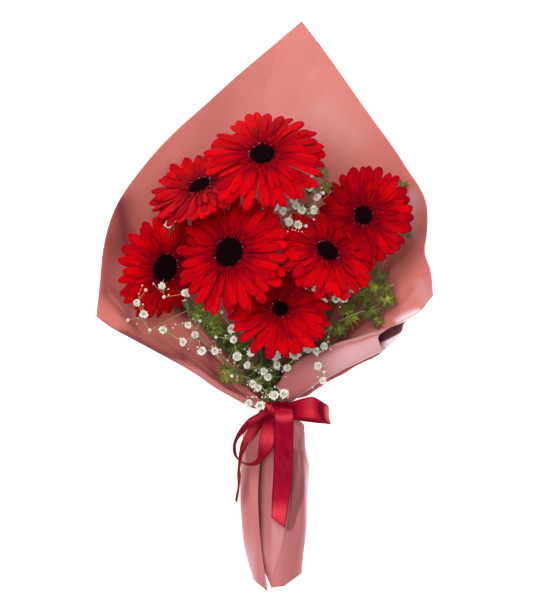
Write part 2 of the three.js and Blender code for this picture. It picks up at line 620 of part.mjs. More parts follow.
// Each spray: its slot at the tie, the way of its stalk to the fork, and its florets as [x, y, size], as seen
// from above. The florets stand at the level `top` or as far above it as they need to be clear.
const THIN_SLOTS = 11;
const FIRST_THIN_SLOT = 8; // degrees from the right
const thinSlot = (k) => FIRST_THIN_SLOT + (360 * k) / THIN_SLOTS;
const SPRAYS = [
  {
    name: "upper", slot: 9, way: [V(14, -40, 17), V(18, 26, 32), V(14, 70, 66), V(13, 80, 102)], top: 104,
    florets: [
      [0.5, 100, 9], [2.5, 93, 8], [10.5, 89, 8], [2.5, 79, 8], [16.5, 78, 9], [25.5, 75, 9],
      [21.5, 100, 8], [23.5, 94, 8], [29.5, 90, 9], [41.5, 90, 9], [37.5, 112, 8], [44.5, 103, 8],
      [38.5, 124, 4], [33.5, 74, 4], [50.5, 107, 4], [14.5, 68, 4],
    ],
  },
  {
    name: "left", slot: 6, way: [V(-36, -76, 34), V(-82, -28, 60)], top: 84,
    florets: [
      [-103.5, 76, 8], [-110.5, 14, 8], [-86.5, 7, 9], [-135.5, -3, 8], [-128.5, -14, 8], [-126.5, 10, 4],
      [-108.5, 3, 4], [-144.5, -20, 4], [-122.5, -30, 4],
    ],
  },
  {
    name: "lower_left", slot: 5, way: [V(-26, -80, 42), V(-62, -48, 62)], top: 76,
    florets: [
      [-109.5, -30, 8], [-77.5, -35, 8], [-89.5, -42, 8], [-70.5, -51, 9], [-57.5, -51, 8],
      [-84.5, -25, 7], [-40.5, -29, 10], [-38.5, -40, 8], [-35.5, -56, 10], [-72.5, -21, 4],
      [-50.5, -12, 4], [-56.5, -37, 4], [-40.5, -76, 4],
    ],
  },
  {
    name: "bottom", slot: 3, way: [V(-4, -84, 46), V(-9, -74, 58)], top: 70,
    florets: [
      [-21.5, -52, 9], [-25.5, -65, 8], [2.5, -56, 11], [22.5, -55, 11], [14.5, -68, 8], [4.5, -65, 8],
      [-8.5, -71, 8], [-4.5, -77, 8], [-19.5, -84, 8], [-14.5, -88, 8], [1.5, -95, 10], [11.5, -94, 10],
      [-23.5, -103, 8], [-12.5, -106, 10],
    ],
  },
  {
    name: "right", slot: 2, way: [V(17, -72, 42), V(41, -42, 58), V(60, -28, 76)], top: 84,
    florets: [
      [43.5, 11, 9], [63.5, 1, 9], [71.5, 1, 8], [81.5, 11, 8], [75.5, 8, 4], [51.5, -1, 8],
      [48.5, -18, 9], [35.5, -49, 9], [43.5, -51, 8], [51.5, -46, 8], [45.5, -66, 8], [50.5, -81, 8],
      [51.5, -72, 4],
    ],
  },
];

const FLORET_STEP = 2;

// A floret at the place, or as far above it as it needs to be clear.
function raisedFloret(at, size) {
  for (let lift = 0; ; lift += FLORET_STEP) {
    const raised = at.clone().setZ(at.z + lift);
    if (isClear(floret(raised, size + 3 * GAP))) return { size, at: raised };
  }
}

function thinStemKnots(slotIndex, way) {
  const at = slot(THIN_RING, thinSlot(slotIndex));
  return [...throughTie(at), ...way];
}

const STALK_STEP = 5; // how much higher the next way is tried
const HIGHEST_STALK = 40;

// A stalk from a joint to a floret in the open: straight, or over a high point on the way.
function openStalk(from, to) {
  const over = (share, rise) => from.clone().lerp(to, share).setZ(Math.max(from.z, to.z) + rise);
  const ways = [[from, to]];
  for (let rise = 0; rise <= HIGHEST_STALK; rise += STALK_STEP) {
    for (const share of [0.2, 0.5, 0.8]) ways.push([from, over(share, rise), to]);
  }
  const pairs = (way) => way.slice(1).map((p, i) => [way[i], p]);
  const open = ways.find((way) => pairs(way).every(([a, b]) => isClear(stalk(a, b, STALK + GAP))));
  return open && pairs(open).map(([a, b]) => stalk(a, b, STALK));
}

for (const spray of SPRAYS) {
  const fork = spray.way.at(-1);
  const parts = [rod(wayThrough(thinStemKnots(spray.slot, spray.way)), THIN_STEM_RADIUS, 3)];
  const heads = spray.florets
    .map(([x, y, size]) => raisedFloret(seen(x, y, spray.top), size))
    .sort((a, b) => a.at.distanceTo(fork) - b.at.distanceTo(fork));
  // Each floret's stalk comes from the nearest joint that it can reach in the open.
  const joints = [fork];
  for (const { at, size } of heads) {
    const under = at.clone().setZ(at.z - size * 0.1);
    const near = joints.slice().sort((a, b) => a.distanceTo(under) - b.distanceTo(under));
    const stalks = near.map((joint) => openStalk(joint, under)).find((found) => found);
    parts.push(...stalks, floret(at, size));
    joints.push(under);
  }
  add(`gypsophila_${spray.name}`, main(fuse(parts)), SPRAY_WHITE);
}

// ---- Asparagus fern ----
// Each frond: its slot at the tie, the way of its stem, the share of the stem where its twigs begin, their
// number and the length of the longest.
const FRONDS = [
  { name: "lower_left", slot: 7, from: 0.76, twigs: 8, long: 27,
    way: [V(-10, -80, 15.5), V(-28, -56, 28), V(-52, -34, 56), V(-72, -14, 70)] },
  { name: "small", slot: 4, from: 0.78, twigs: 6, long: 17,
    way: [V(-12, -88, 44), V(-28, -78, 54), V(-50, -72, 58)] },
  { name: "right_low", slot: 1, from: 0.68, twigs: 8, long: 28,
    way: [V(34, -56, 42), V(64, -24, 58), V(104, -6, 72)] },
  { name: "right_high", slot: 0, from: 0.74, twigs: 8, long: 28,
    way: [V(54, -52, 36), V(92, -10, 52), V(122, 24, 68)] },
  { name: "behind_right", slot: 10, from: 0.8, twigs: 7, long: 19,
    way: [V(46, -66, 27), V(100, 8, 42), V(124, 70, 48), V(131, 116, 68)] },
  { name: "upper", slot: 8, from: 0.64, twigs: 8, long: 20,
    way: [V(10, -30, 8), V(30, 60, 34), V(50, 122, 82)] },
];
const TWIG_THICK = 0.8;
const TWIG_SPINE = 0.7; // half the width between its needles
const NEEDLES = 3; // on each side of a twig
const NEEDLE = 9; // length of the longest
const TWIG_OUT = 1.3; // how far a twig leans out of the frond's stem, against how far along it
const TWIG_UP = 0.5; // how far it may lean up
const TWIG_SPREAD = 0.3; // the shortest twig is this share shorter than the longest
const TWIG_ROLL = 50; // degrees
const TWIG_SHARES = [1, 0.8, 0.6, 0.45]; // the lengths tried, as shares, until one is clear

// A twig is cut from one thin blade: needles on both sides that lean forward, and one at the tip.
function twigShape(length) {
  const half = (sign) => {
    const points = [];
    for (let i = 0; i < NEEDLES; i++) {
      const y = length * lerp(0.16, 0.86, i / NEEDLES);
      const out = NEEDLE * Math.sin(Math.PI * lerp(0.3, 0.86, i / NEEDLES));
      points.push([TWIG_SPINE, y], [out, y + out * 0.8]);
    }
    return points.map(([x, y]) => new THREE.Vector2(sign * x, y));
  };
  const foot = (sign) => new THREE.Vector2(sign * TWIG_SPINE, 0);
  const tip = new THREE.Vector2(0, length);
  return new THREE.Shape([foot(1), ...half(1), tip, ...half(-1).reverse(), foot(-1)]);
}

// The blade from its root, along aim, turned about it by roll degrees.
function twig(root, aim, length, roll, thickness) {
  const blade = new THREE.ExtrudeGeometry(twigShape(length), { depth: thickness, bevelEnabled: false });
  blade.translate(0, 0, -thickness / 2).rotateY(rad(roll));
  const side = V(aim.y, -aim.x, 0).normalize();
  const up = side.clone().cross(aim);
  return solid(blade.applyMatrix4(new THREE.Matrix4().makeBasis(side, aim, up).setPosition(root)));
}

for (const [index, frond] of FRONDS.entries()) {
  const knots = thinStemKnots(frond.slot, frond.way);
  const path = new THREE.CatmullRomCurve3(wayThrough(knots), false, "centripetal");
  const parts = [rod(wayThrough(knots), THIN_STEM_RADIUS, 3)];
  for (let i = 0; i < frond.twigs; i++) {
    const t = lerp(frond.from, 1, i / (frond.twigs - 1));
    const seed = index * 50 + i;
    const root = path.getPointAt(t);
    const ahead = path.getTangentAt(t);
    const sideways = i === frond.twigs - 1 ? 0 : 1 - 2 * (i % 2);
    const aim = ahead.clone().add(V(-ahead.y, ahead.x, 0).normalize().multiplyScalar(TWIG_OUT * sideways));
    aim.z = TWIG_UP * draw(seed);
    aim.normalize();
    const length = frond.long * (1 - TWIG_SPREAD * draw(seed + 0.5));
    const roll = TWIG_ROLL * (draw(seed + 0.25) - 0.5);
    const isOpen = (share) => isClear(twig(root, aim, length * share + GAP, roll, TWIG_THICK + 2 * GAP));
    const share = TWIG_SHARES.find(isOpen);
    if (share) parts.push(twig(root, aim, length * share, roll, TWIG_THICK));
  }
  add(`fern_${frond.name}`, main(fuse(parts)), FERN_GREEN);
}

// The origin stands on the surface, under the middle of the whole.
const extent = new THREE.Box3().setFromObject(bouquet);
const middle = extent.getCenter(new THREE.Vector3());
bouquet.position.set(-middle.x, -middle.y, -extent.min.z);

export default bouquet;
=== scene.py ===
"""Looks of a hand-tied bouquet: red gerberas, gypsophila and asparagus fern in a matt film wrap with a bow.

Shapes are drawn in millimetres in the design frame, in which the middle of the picture is x = y = 0 at the
level of the flowers, and are put into the row frame in metres by `place`.
"""
import math

import bpy
import numpy as np
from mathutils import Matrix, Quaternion, Vector
from mathutils.bvhtree import BVHTree


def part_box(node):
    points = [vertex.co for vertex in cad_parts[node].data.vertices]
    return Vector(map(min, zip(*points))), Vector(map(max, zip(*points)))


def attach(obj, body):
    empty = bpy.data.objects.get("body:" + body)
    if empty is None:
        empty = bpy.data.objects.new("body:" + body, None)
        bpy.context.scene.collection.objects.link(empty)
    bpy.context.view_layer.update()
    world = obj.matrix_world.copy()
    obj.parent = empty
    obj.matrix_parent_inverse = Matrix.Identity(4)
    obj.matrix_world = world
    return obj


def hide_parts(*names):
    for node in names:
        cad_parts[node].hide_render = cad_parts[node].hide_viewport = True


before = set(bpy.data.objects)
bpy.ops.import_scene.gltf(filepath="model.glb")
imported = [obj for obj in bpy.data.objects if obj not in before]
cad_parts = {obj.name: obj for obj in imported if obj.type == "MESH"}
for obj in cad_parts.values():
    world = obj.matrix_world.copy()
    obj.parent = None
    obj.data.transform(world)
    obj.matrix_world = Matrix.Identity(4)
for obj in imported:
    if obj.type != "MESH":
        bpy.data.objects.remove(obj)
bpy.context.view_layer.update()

MM = 0.001

# ---- Driving dimensions, as in the CAD part (millimetres) ----
TIE = np.array([4.5, -112.0, 23.0])  # centre of the waist, where the ribbon goes round
FILM = 0.8  # thickness of the wrap
GAP = 0.3  # clearance between pieces that touch
STEM_RADIUS = 3.2
STEM_PITCH = 7.3  # centre to centre in the bundle
THIN_RING = 12.6  # radius of the ring of thin stems round the gerbera stems
STEM_END_Y = -236.0
BINDING_INNER, BINDING_THICK, BINDING_WIDTH = 14.3, 1.8, 9.0
WAIST_RADIUS = BINDING_INNER + BINDING_THICK + GAP + FILM
BAND_WIDTH = 13.0  # the ribbon where it goes round the neck
HEAD_LEVEL = 90.0  # of the flowers over the floor
EYE_DISTANCE = 2200.0  # of the camera over the flowers
PICTURE_HEIGHT = 600.0  # what the picture shows at the flowers' level
SENSOR = 36.0

# The design frame's origin in the row frame: the binding is round the tie in both.
low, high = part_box("stem_binding")
ORIGIN = (np.array(low) + np.array(high)) / 2 / MM - TIE


def place(points):
    """Design millimetres to row metres."""
    return (np.asarray(points, float) + ORIGIN) * MM


# ---- The camera ----
def make_camera():
    data = bpy.data.cameras.new("camera")
    data.sensor_width = SENSOR
    data.lens = SENSOR * EYE_DISTANCE / PICTURE_HEIGHT
    camera = bpy.data.objects.new("camera", data)
    camera.location = place([0, 0, HEAD_LEVEL + EYE_DISTANCE])
    bpy.context.collection.objects.link(camera)
    bpy.context.scene.camera = camera


make_camera()

# ---- Curves and small mathematics ----
CHORDAL, CENTRIPETAL = 0.5, 0.25  # how the knots of a smooth curve are spaced


def lerp(a, b, t):
    return a + (b - a) * t


def smooth(x, a, b):
    t = np.clip((np.asarray(x, float) - a) / (b - a), 0, 1)
    return t * t * (3 - 2 * t)


def band(x, a, b, c, d):
    """1 from b to c, and 0 before a and past d."""
    return smooth(x, a, b) * (1 - smooth(x, c, d))


def hill(x, middle, half):
    return np.exp(-(((x - middle) / half) ** 2))


def unit(v):
    v = np.asarray(v, float)
    return v / np.maximum(np.linalg.norm(v, axis=-1, keepdims=True), 1e-9)


def stack(*parts):
    """The parts side by side along a new last axis, each stretched to the shape of all."""
    return np.stack(np.broadcast_arrays(*parts), -1)


def around(count):
    """Angles evenly round a ring."""
    return np.linspace(0, 2 * np.pi, count, endpoint=False)


def turned(points, angle):
    """The points turned about Z."""
    c, s = math.cos(angle), math.sin(angle)
    x, y = points[..., 0], points[..., 1]
    return stack(x * c - y * s, x * s + y * c, points[..., 2])


def revolved(profile, angles):
    """Rings round Z, one for each (radius, height) of the profile."""
    radii, heights = np.array(profile, float).T[..., None]
    return stack(radii * np.cos(angles), radii * np.sin(angles), heights)


def smooth_curve(points, power):
    """A Catmull-Rom curve through the points, as a function of 0 to 1."""
    def step(q, r):
        return np.maximum(((r - q) ** 2).sum(-1, keepdims=True) ** power, 1e-4)

    p = np.asarray(points, float)
    p = np.vstack([2 * p[0] - p[1], p, 2 * p[-1] - p[-2]])

    def at(t):
        t = np.asarray(t, float)
        x = np.clip(t, 0, 1) * (len(p) - 3)
        i = np.minimum(x.astype(int), len(p) - 4)
        w = (x - i)[..., None]
        a, b, c, d = p[i], p[i + 1], p[i + 2], p[i + 3]
        d0, d1, d2 = step(a, b), step(b, c), step(c, d)
        t1 = ((b - a) / d0 - (c - a) / (d0 + d1) + (c - b) / d1) * d1
        t2 = ((c - b) / d1 - (d - b) / (d1 + d2) + (d - c) / d2) * d1
        return b + t1 * w + (3 * (c - b) - 2 * t1 - t2) * w**2 + (2 * (b - c) + t1 + t2) * w**3

    return at


def plain_curve(values):
    """A uniform Catmull-Rom curve through evenly spaced values, as a function of 0 to 1."""
    p = np.asarray(values, float)
    p = p[:, None] if p.ndim == 1 else p
    q = np.vstack([p[0], p, p[-1], p[-1]])

    def at(t):
        x = np.clip(np.asarray(t, float), 0, 1) * (len(p) - 1)
        i = np.minimum(x.astype(int), len(p) - 1)
        w = (x - i)[..., None]
        a, b, c, d = q[i], q[i + 1], q[i + 2], q[np.minimum(i + 3, len(q) - 1)]
        v0, v1 = (c - a) / 2, (d - b) / 2
        return (2 * b - 2 * c + v0 + v1) * w**3 + (3 * c - 3 * b - 2 * v0 - v1) * w**2 + v0 * w + b

    return at


def line_through(points, count):
    """Points evenly along a smooth curve through the given ones."""
    return smooth_curve(points, CENTRIPETAL)(np.linspace(0, 1, count))


def seen(x, y, z):
    """Where a point at the height z stands to be seen at x, y of the picture."""
    spread = 1 - (np.asarray(z, float) - HEAD_LEVEL) / EYE_DISTANCE
    return stack(x * spread, y * spread, z)


def soft_noise(x, y, seed, waves=9):
    """A smooth random field of about -1 to 1 with features about 1 unit across."""
    rng = np.random.default_rng(seed)
    total = np.zeros(np.broadcast(x, y).shape)
    for _ in range(waves):
        a = rng.uniform(0, 2 * np.pi)
        f = rng.uniform(0.6, 1.7) * 2 * np.pi
        total += np.sin((x * math.cos(a) + y * math.sin(a)) * f + rng.uniform(0, 2 * np.pi))
    return total / math.sqrt(waves / 2) / 1.6


# ---- Meshes ----
def grid_faces(rows, columns, closed=False):
    """The quads of a grid whose points are counted row by row. closed joins the last column to the first."""
    faces = []
    for j in range(rows - 1):
        for i in range(columns if closed else columns - 1):
            k = (i + 1) % columns
            faces.append((j * columns + i, j * columns + k, (j + 1) * columns + k, (j + 1) * columns + i))
    return faces


class Shape:
    """Vertices, faces, and a colour value and a map place per vertex, gathered from many small bits."""

    def __init__(self):
        self.points, self.faces, self.marks, self.maps, self.kinds = [], [], [], [], []
        self.count = 0

    def add(self, points, faces, mark=(0, 0, 0), uv=None, kind=0):
        points = np.asarray(points, float).reshape(-1, 3)
        n = len(points)
        self.points.append(points)
        self.marks.append(np.broadcast_to(np.asarray(mark, float), (n, 3)))
        self.maps.append(np.zeros((n, 2)) if uv is None else np.asarray(uv, float).reshape(-1, 2))
        self.faces += [tuple(i + self.count for i in f) for f in faces]
        self.kinds += [kind] * len(faces)
        self.count += n

    def grid(self, points, mark=(0, 0, 0), uv=None, kind=0, closed=False):
        """points has shape (rows, columns, 3). mark is one value, or one for each point."""
        mark = np.asarray(mark, float)
        mark = mark.reshape(-1, 3) if mark.ndim > 1 else mark
        self.add(points, grid_faces(*points.shape[:2], closed), mark, uv, kind)


def make(node, shape, materials):
    """The fine piece that stands for a node, from a shape in design millimetres."""
    name = f"{node}_fine"
    mesh = bpy.data.meshes.new(name)
    points = place(np.vstack(shape.points))
    mesh.from_pydata(points.tolist(), [], shape.faces)
    mesh.update()
    marks = mesh.color_attributes.new("mark", "FLOAT_COLOR", "POINT")
    values = np.ones((len(points), 4), np.float32)
    values[:, :3] = np.vstack(shape.marks)
    marks.data.foreach_set("color", values.ravel())
    layer = mesh.uv_layers.new(name="UVMap")
    corners = np.empty(len(mesh.loops), np.int32)
    mesh.loops.foreach_get("vertex_index", corners)
    layer.data.foreach_set("uv", np.vstack(shape.maps).astype(np.float32)[corners].ravel())
    for material in materials:
        mesh.materials.append(material)
    mesh.polygons.foreach_set("material_index", np.array(shape.kinds, np.int32))
    mesh.polygons.foreach_set("use_smooth", np.full(len(mesh.polygons), True))
    piece = bpy.data.objects.new(name, mesh)
    bpy.context.collection.objects.link(piece)
    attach(piece, "root")
    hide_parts(node)
    return piece


def thicken(piece, millimetres):
    """Gives an open sheet its thickness, half on each side, and applies it."""
    solid = piece.modifiers.new("thickness", "SOLIDIFY")
    solid.thickness = millimetres * MM
    solid.offset = 0.0
    bpy.context.view_layer.objects.active = piece
    with bpy.context.temp_override(object=piece, active_object=piece, selected_objects=[piece]):
        bpy.ops.object.modifier_apply(modifier=solid.name)


def frames_along(points):
    """Directions along a line of points, and two more across it that don't twist."""
    ahead = unit(np.gradient(points, axis=0))
    side = np.empty_like(ahead)
    s = unit(np.cross(ahead[0], [0.3, 0.1, 1.0]))
    for i, a in enumerate(ahead):
        s = unit(s - a * (s @ a))
        side[i] = s
    return ahead, side, np.cross(ahead, side)


def tube(shape, points, radii, sides=8, mark=(0, 0, 0), kind=0, ribs=0.0):
    """A closed round tube along the points, with a radius at each."""
    points = np.asarray(points, float)
    radii = np.broadcast_to(np.asarray(radii, float), len(points))
    _, side, up = frames_along(points)
    a = around(sides)
    swell = 1 + ribs * np.cos(a * sides / 2)
    ring = np.cos(a)[None, :, None] * side[:, None] + np.sin(a)[None, :, None] * up[:, None]
    grid = points[:, None] + ring * (radii[:, None] * swell[None])[..., None]
    start = shape.count
    length = np.linspace(0, 1, len(points))
    uv = stack(a[None] / (2 * np.pi), length[:, None])
    shape.grid(grid, mark, uv, kind, closed=True)
    last = start + (len(points) - 1) * sides
    shape.faces += [tuple(range(start + sides - 1, start - 1, -1)), tuple(range(last, last + sides))]
    shape.kinds += [kind, kind]


# ---- Materials ----
class Paint:
    """A node material that is built from short calls."""

    def __init__(self, name, **sockets):
        self.material = bpy.data.materials.new(name)
        self.material.use_nodes = True
        self.nodes = self.material.node_tree.nodes
        self.links = self.material.node_tree.links
        self.shader = self.nodes["Principled BSDF"]
        self.set(self.shader, **sockets)

    def put(self, socket, value):
        """value is a number, a vector, a colour, or another node's output."""
        if isinstance(value, bpy.types.NodeSocket):
            self.links.new(value, socket)
        elif socket.type == "RGBA":
            socket.default_value = (*value, 1)
        else:
            socket.default_value = value

    def set(self, node, **sockets):
        for key, value in sockets.items():
            self.put(node.inputs[key.replace("_", " ")], value)

    def node(self, kind, options, **sockets):
        node = self.nodes.new(kind)
        for key, value in options.items():
            setattr(node, key, value)
        self.set(node, **sockets)
        return node.outputs[0]

    def mark(self):
        """The piece's colour values, as separate channels."""
        attribute = self.node("ShaderNodeVertexColor", {"layer_name": "mark"})
        split = self.nodes.new("ShaderNodeSeparateColor")
        self.links.new(attribute, split.inputs[0])
        return split.outputs

    def across(self):
        """How far from the middle of its strip a point is, 0 to 1, from the map."""
        coordinates = self.nodes.new("ShaderNodeTexCoord")
        split = self.nodes.new("ShaderNodeSeparateXYZ")
        self.links.new(coordinates.outputs["UV"], split.inputs[0])
        off = self.math("SUBTRACT", self.math("FRACT", split.outputs[0]), 0.5)
        return self.math("MULTIPLY", self.math("ABSOLUTE", off), 2.0)

    def place(self, source, scale):
        coordinates = self.nodes.new("ShaderNodeTexCoord")
        return self.node("ShaderNodeMapping", {}, Vector=coordinates.outputs[source], Scale=scale)

    def noise(self, source="Object", scale=(1, 1, 1), size=10.0, detail=3.0, rough=0.5, distort=0.0):
        return self.node("ShaderNodeTexNoise", {}, Vector=self.place(source, scale), Scale=size,
                         Detail=detail, Roughness=rough, Distortion=distort)

    def ramp(self, factor, *stops):
        node = self.nodes.new("ShaderNodeValToRGB")
        self.links.new(factor, node.inputs[0])
        ramp = node.color_ramp
        while len(ramp.elements) < len(stops):
            ramp.elements.new(0.5)
        for element, (at, color) in zip(ramp.elements, stops):
            element.position = at
            element.color = (*color, 1)
        return node.outputs[0]

    def mix(self, factor, a, b, blend="MIX"):
        node = self.nodes.new("ShaderNodeMix")
        node.data_type = "RGBA"
        node.blend_type = blend
        for socket, value in ((node.inputs[0], factor), (node.inputs[6], a), (node.inputs[7], b)):
            self.put(socket, value)
        return node.outputs[2]

    def math(self, operation, a, b=0.5):
        node = self.nodes.new("ShaderNodeMath")
        node.operation = operation
        self.put(node.inputs[0], a)
        self.put(node.inputs[1], b)
        return node.outputs[0]

    def bump(self, height, strength, distance, normal=None):
        bump = self.nodes.new("ShaderNodeBump")
        bump.inputs["Strength"].default_value = strength
        bump.inputs["Distance"].default_value = distance
        self.links.new(height, bump.inputs["Height"])
        if normal:
            self.links.new(normal, bump.inputs["Normal"])
        self.links.new(bump.outputs[0], self.shader.inputs["Normal"])
        return bump.outputs[0]


def petal_material():
    """Velvety red with fine lengthwise veins. mark: share of the length, which row, a draw per petal."""
    p = Paint("petal_red", Roughness=0.7, Specular_IOR_Level=0.06, Specular_Tint=(1.0, 0.03, 0.05),
              Sheen_Weight=0.03, Sheen_Roughness=0.35, Sheen_Tint=(1.0, 0.05, 0.1))
    along, row, chance = p.mark()[:3]
    across = p.across()
    veins = p.noise("UV", (9, 0.9, 1), 1.0, 4, 0.6)
    fine = p.noise("UV", (34, 2.0, 1), 1.0, 2, 0.5)
    # Darker towards the root: painted shade near the disc, where the petals lie under one another. A little
    # darker at the tip.
    base = p.ramp(along, (0.0, (0.08, 0.0, 0.005)), (0.3, (0.32, 0.0, 0.006)), (0.62, (0.62, 0.001, 0.004)),
                  (0.94, (0.62, 0.001, 0.005)), (1.0, (0.46, 0.001, 0.008)))
    shade = p.ramp(veins, (0.32, (0.46, 0.6, 0.8)), (0.56, (1, 1, 1)))
    color = p.mix(0.85, base, shade, "MULTIPLY")
    # Painted shade along each petal's edges, where the petals meet, with a faint mauve painted sheen.
    rim = p.ramp(across, (0.0, (1, 1, 1)), (0.86, (1, 1, 1)), (1.0, (0.62, 3.0, 3.2)))
    color = p.mix(0.8, color, rim, "MULTIPLY")
    tone = p.ramp(chance, (0.0, (0.5, 0.8, 1.3)), (0.3, (0.76, 1.0, 1.2)), (0.6, (1.0, 1.0, 1.0)),
                  (1.0, (1.15, 1.0, 0.85)))
    color = p.mix(0.9, color, tone, "MULTIPLY")
    deep = p.ramp(row, (0.0, (1, 1, 1)), (0.4, (0.94, 1, 1)), (0.6, (0.64, 0.9, 1.15)),
                  (1.0, (0.38, 0.7, 1.0)))
    color = p.mix(1.0, color, deep, "MULTIPLY")
    # The shortest florets end in tiny pink points.
    points = p.math("MULTIPLY", p.ramp(along, (0.9, (0, 0, 0)), (0.97, (1, 1, 1))),
                    p.ramp(row, (0.84, (0, 0, 0)), (0.97, (0.6, 0.6, 0.6))))
    p.set(p.shader, Base_Color=p.mix(points, color, (0.62, 0.07, 0.1)))
    p.bump(p.math("ADD", veins, p.math("MULTIPLY", fine, 0.5)), 0.5, 0.0007)
    return p.material


def disc_material():
    """Nearly black florets with pale tips at the border. mark: how far out, height in the floret, a draw."""
    p = Paint("disc_dark", Roughness=0.8, Specular_IOR_Level=0.1, Specular_Tint=(1.0, 0.4, 0.4))
    out, height, chance = p.mark()[:3]
    core = p.ramp(height, (0.0, (0.003, 0.0005, 0.001)), (0.7, (0.006, 0.0008, 0.003)),
                  (1.0, (0.015, 0.002, 0.006)))
    tips = p.ramp(chance, (0.0, (0.04, 0.001, 0.006)), (0.3, (0.16, 0.006, 0.02)), (0.6, (0.4, 0.09, 0.1)),
                  (0.85, (0.56, 0.24, 0.22)), (1.0, (0.72, 0.45, 0.38)))
    border = p.math("MULTIPLY", p.ramp(out, (0.95, (0, 0, 0)), (1.0, (1, 1, 1))),
                    p.ramp(height, (0.5, (0, 0, 0)), (0.75, (1, 1, 1))))
    p.set(p.shader, Base_Color=p.mix(border, core, tips))
    p.bump(p.noise(size=2500, detail=2), 0.4, 0.0003)
    return p.material


def green_material(name, dark, light, roughness=0.55, scale=(1, 1, 1), size=300.0):
    p = Paint(name, Roughness=roughness, Specular_IOR_Level=0.35, Sheen_Weight=0.15, Sheen_Roughness=0.5)
    chance = p.mark()[2]
    grain = p.noise("Object", scale, size, 4, 0.6)
    tone = p.math("ADD", p.math("MULTIPLY", grain, 0.5), p.math("MULTIPLY", chance, 0.5))
    p.set(p.shader, Base_Color=p.ramp(tone, (0.2, dark), (0.8, light)))
    p.bump(grain, 0.3, 0.0003)
    return p.material


def white_floret_material():
    """mark: 0 at the heart of the floret and 1 at the petals' ends."""
    p = Paint("floret_white", Roughness=0.7, Specular_IOR_Level=0.15, Subsurface_Weight=0.25,
              Subsurface_Radius=(0.003, 0.003, 0.002))
    out, _, chance = p.mark()[:3]
    color = p.ramp(out, (0.0, (0.5, 0.5, 0.26)), (0.2, (0.78, 0.76, 0.6)), (0.45, (0.92, 0.89, 0.82)))
    chances = p.ramp(chance, (0.0, (0.74, 0.72, 0.66)), (1.0, (1, 1, 1)))
    p.set(p.shader, Base_Color=p.mix(0.9, color, chances, "MULTIPLY"))
    p.bump(p.noise(size=1800, detail=3), 0.3, 0.0003)
    return p.material


def film_material(name, dark, light, sheen):
    """Matt film: a soft broad sheen, faint cloudy tone and very fine wrinkles.

    mark: how much dark painted shade lies deep inside a roll or hollow, how much whitish painted sheen, and
    how much painted shade.
    """
    p = Paint(name, Roughness=0.5, Specular_IOR_Level=0.4, Sheen_Weight=sheen, Sheen_Roughness=0.3,
              Sheen_Tint=(0.9, 0.84, 1.0), Coat_Weight=0.06, Coat_Roughness=0.45)
    deep, painted_sheen, shade = p.mark()[:3]
    clouds = p.noise(size=9, detail=4, rough=0.6)
    tone = p.ramp(clouds, (0.3, dark), (0.7, light))
    # Painted shade darkens the tone, a whitish painted sheen lightens it, and a dark maroon painted shade
    # fills the hollows and the inside of the roll.
    tone = p.mix(shade, tone, p.mix(1.0, tone, (0.36, 0.22, 0.3), "MULTIPLY"))
    tone = p.mix(painted_sheen, tone, (0.86, 0.76, 0.85))
    p.set(p.shader, Base_Color=p.mix(deep, tone, (0.075, 0.002, 0.01)))
    wrinkles = p.noise(scale=(1.0, 0.5, 1.0), size=30, detail=4, rough=0.5, distort=0.5)
    grain = p.noise(size=900, detail=2)
    p.bump(grain, 0.05, 0.0002, p.bump(wrinkles, 0.14, 0.0016))
    return p.material


def satin_material():
    """Satin: a tight weave across the strip and a broad soft shine. mark: selvedge, painted highlight,
    painted shade.
    """
    p = Paint("ribbon_satin", Roughness=0.38, Specular_IOR_Level=0.25, Specular_Tint=(1.0, 0.25, 0.35),
              Sheen_Weight=0.03, Sheen_Roughness=0.3, Sheen_Tint=(1.0, 0.15, 0.4), Anisotropic=0.7,
              Metallic=0.15)
    selvedge, painted_highlight, shade = p.mark()[:3]
    weave = p.node("ShaderNodeTexWave", {"bands_direction": "Y"}, Vector=p.place("UV", (1, 160, 1)),
                   Scale=1.0, Distortion=0.4, Detail=1.0)
    pull = p.noise("UV", (4, 14, 1), 1.0, 3, 0.6)
    base = p.ramp(pull, (0.3, (0.32, 0.0, 0.016)), (0.7, (0.41, 0.0005, 0.024)))
    # Painted shade darkens the red, and painted highlights lighten it.
    base = p.mix(shade, base, (0.085, 0.0, 0.01))
    base = p.mix(painted_highlight, base, (0.84, 0.06, 0.09))
    p.set(p.shader, Base_Color=p.mix(selvedge, base, (0.24, 0.0, 0.012)))
    p.bump(weave, 0.06, 0.0002, p.bump(pull, 0.08, 0.0005))
    return p.material


def rubber_material():
    p = Paint("band_rubber", Roughness=0.7)
    p.set(p.shader, Base_Color=p.ramp(p.noise(size=400), (0.3, (0.36, 0.24, 0.1)), (0.7, (0.55, 0.4, 0.2))))
    p.bump(p.noise(size=1200), 0.2, 0.0003)
    return p.material


PETAL = petal_material()
DISC = disc_material()
# The stems' green is darker than their own colour: painted shade for the shadow between the heads.
STEM_GREEN = green_material("stem_green", (0.03, 0.06, 0.01), (0.1, 0.16, 0.035), scale=(1, 0.15, 1))
BRACT_GREEN = green_material("bract_green", (0.05, 0.1, 0.015), (0.16, 0.26, 0.05))
FERN_LIGHT = green_material("fern_needles", (0.035, 0.075, 0.004), (0.62, 0.76, 0.03), roughness=0.5)
STALK_GREEN = green_material("stalk_green", (0.16, 0.2, 0.05), (0.4, 0.42, 0.2))
CUT_END = green_material("cut_end", (0.35, 0.4, 0.18), (0.55, 0.58, 0.3))
FLORET = white_floret_material()
FILM_INNER = film_material("film_inner", (0.54, 0.145, 0.125), (0.62, 0.175, 0.15), 0.1)
FILM_OUTER = film_material("film_outer", (0.46, 0.125, 0.125), (0.53, 0.15, 0.15), 0.35)
SATIN = satin_material()
RUBBER = rubber_material()

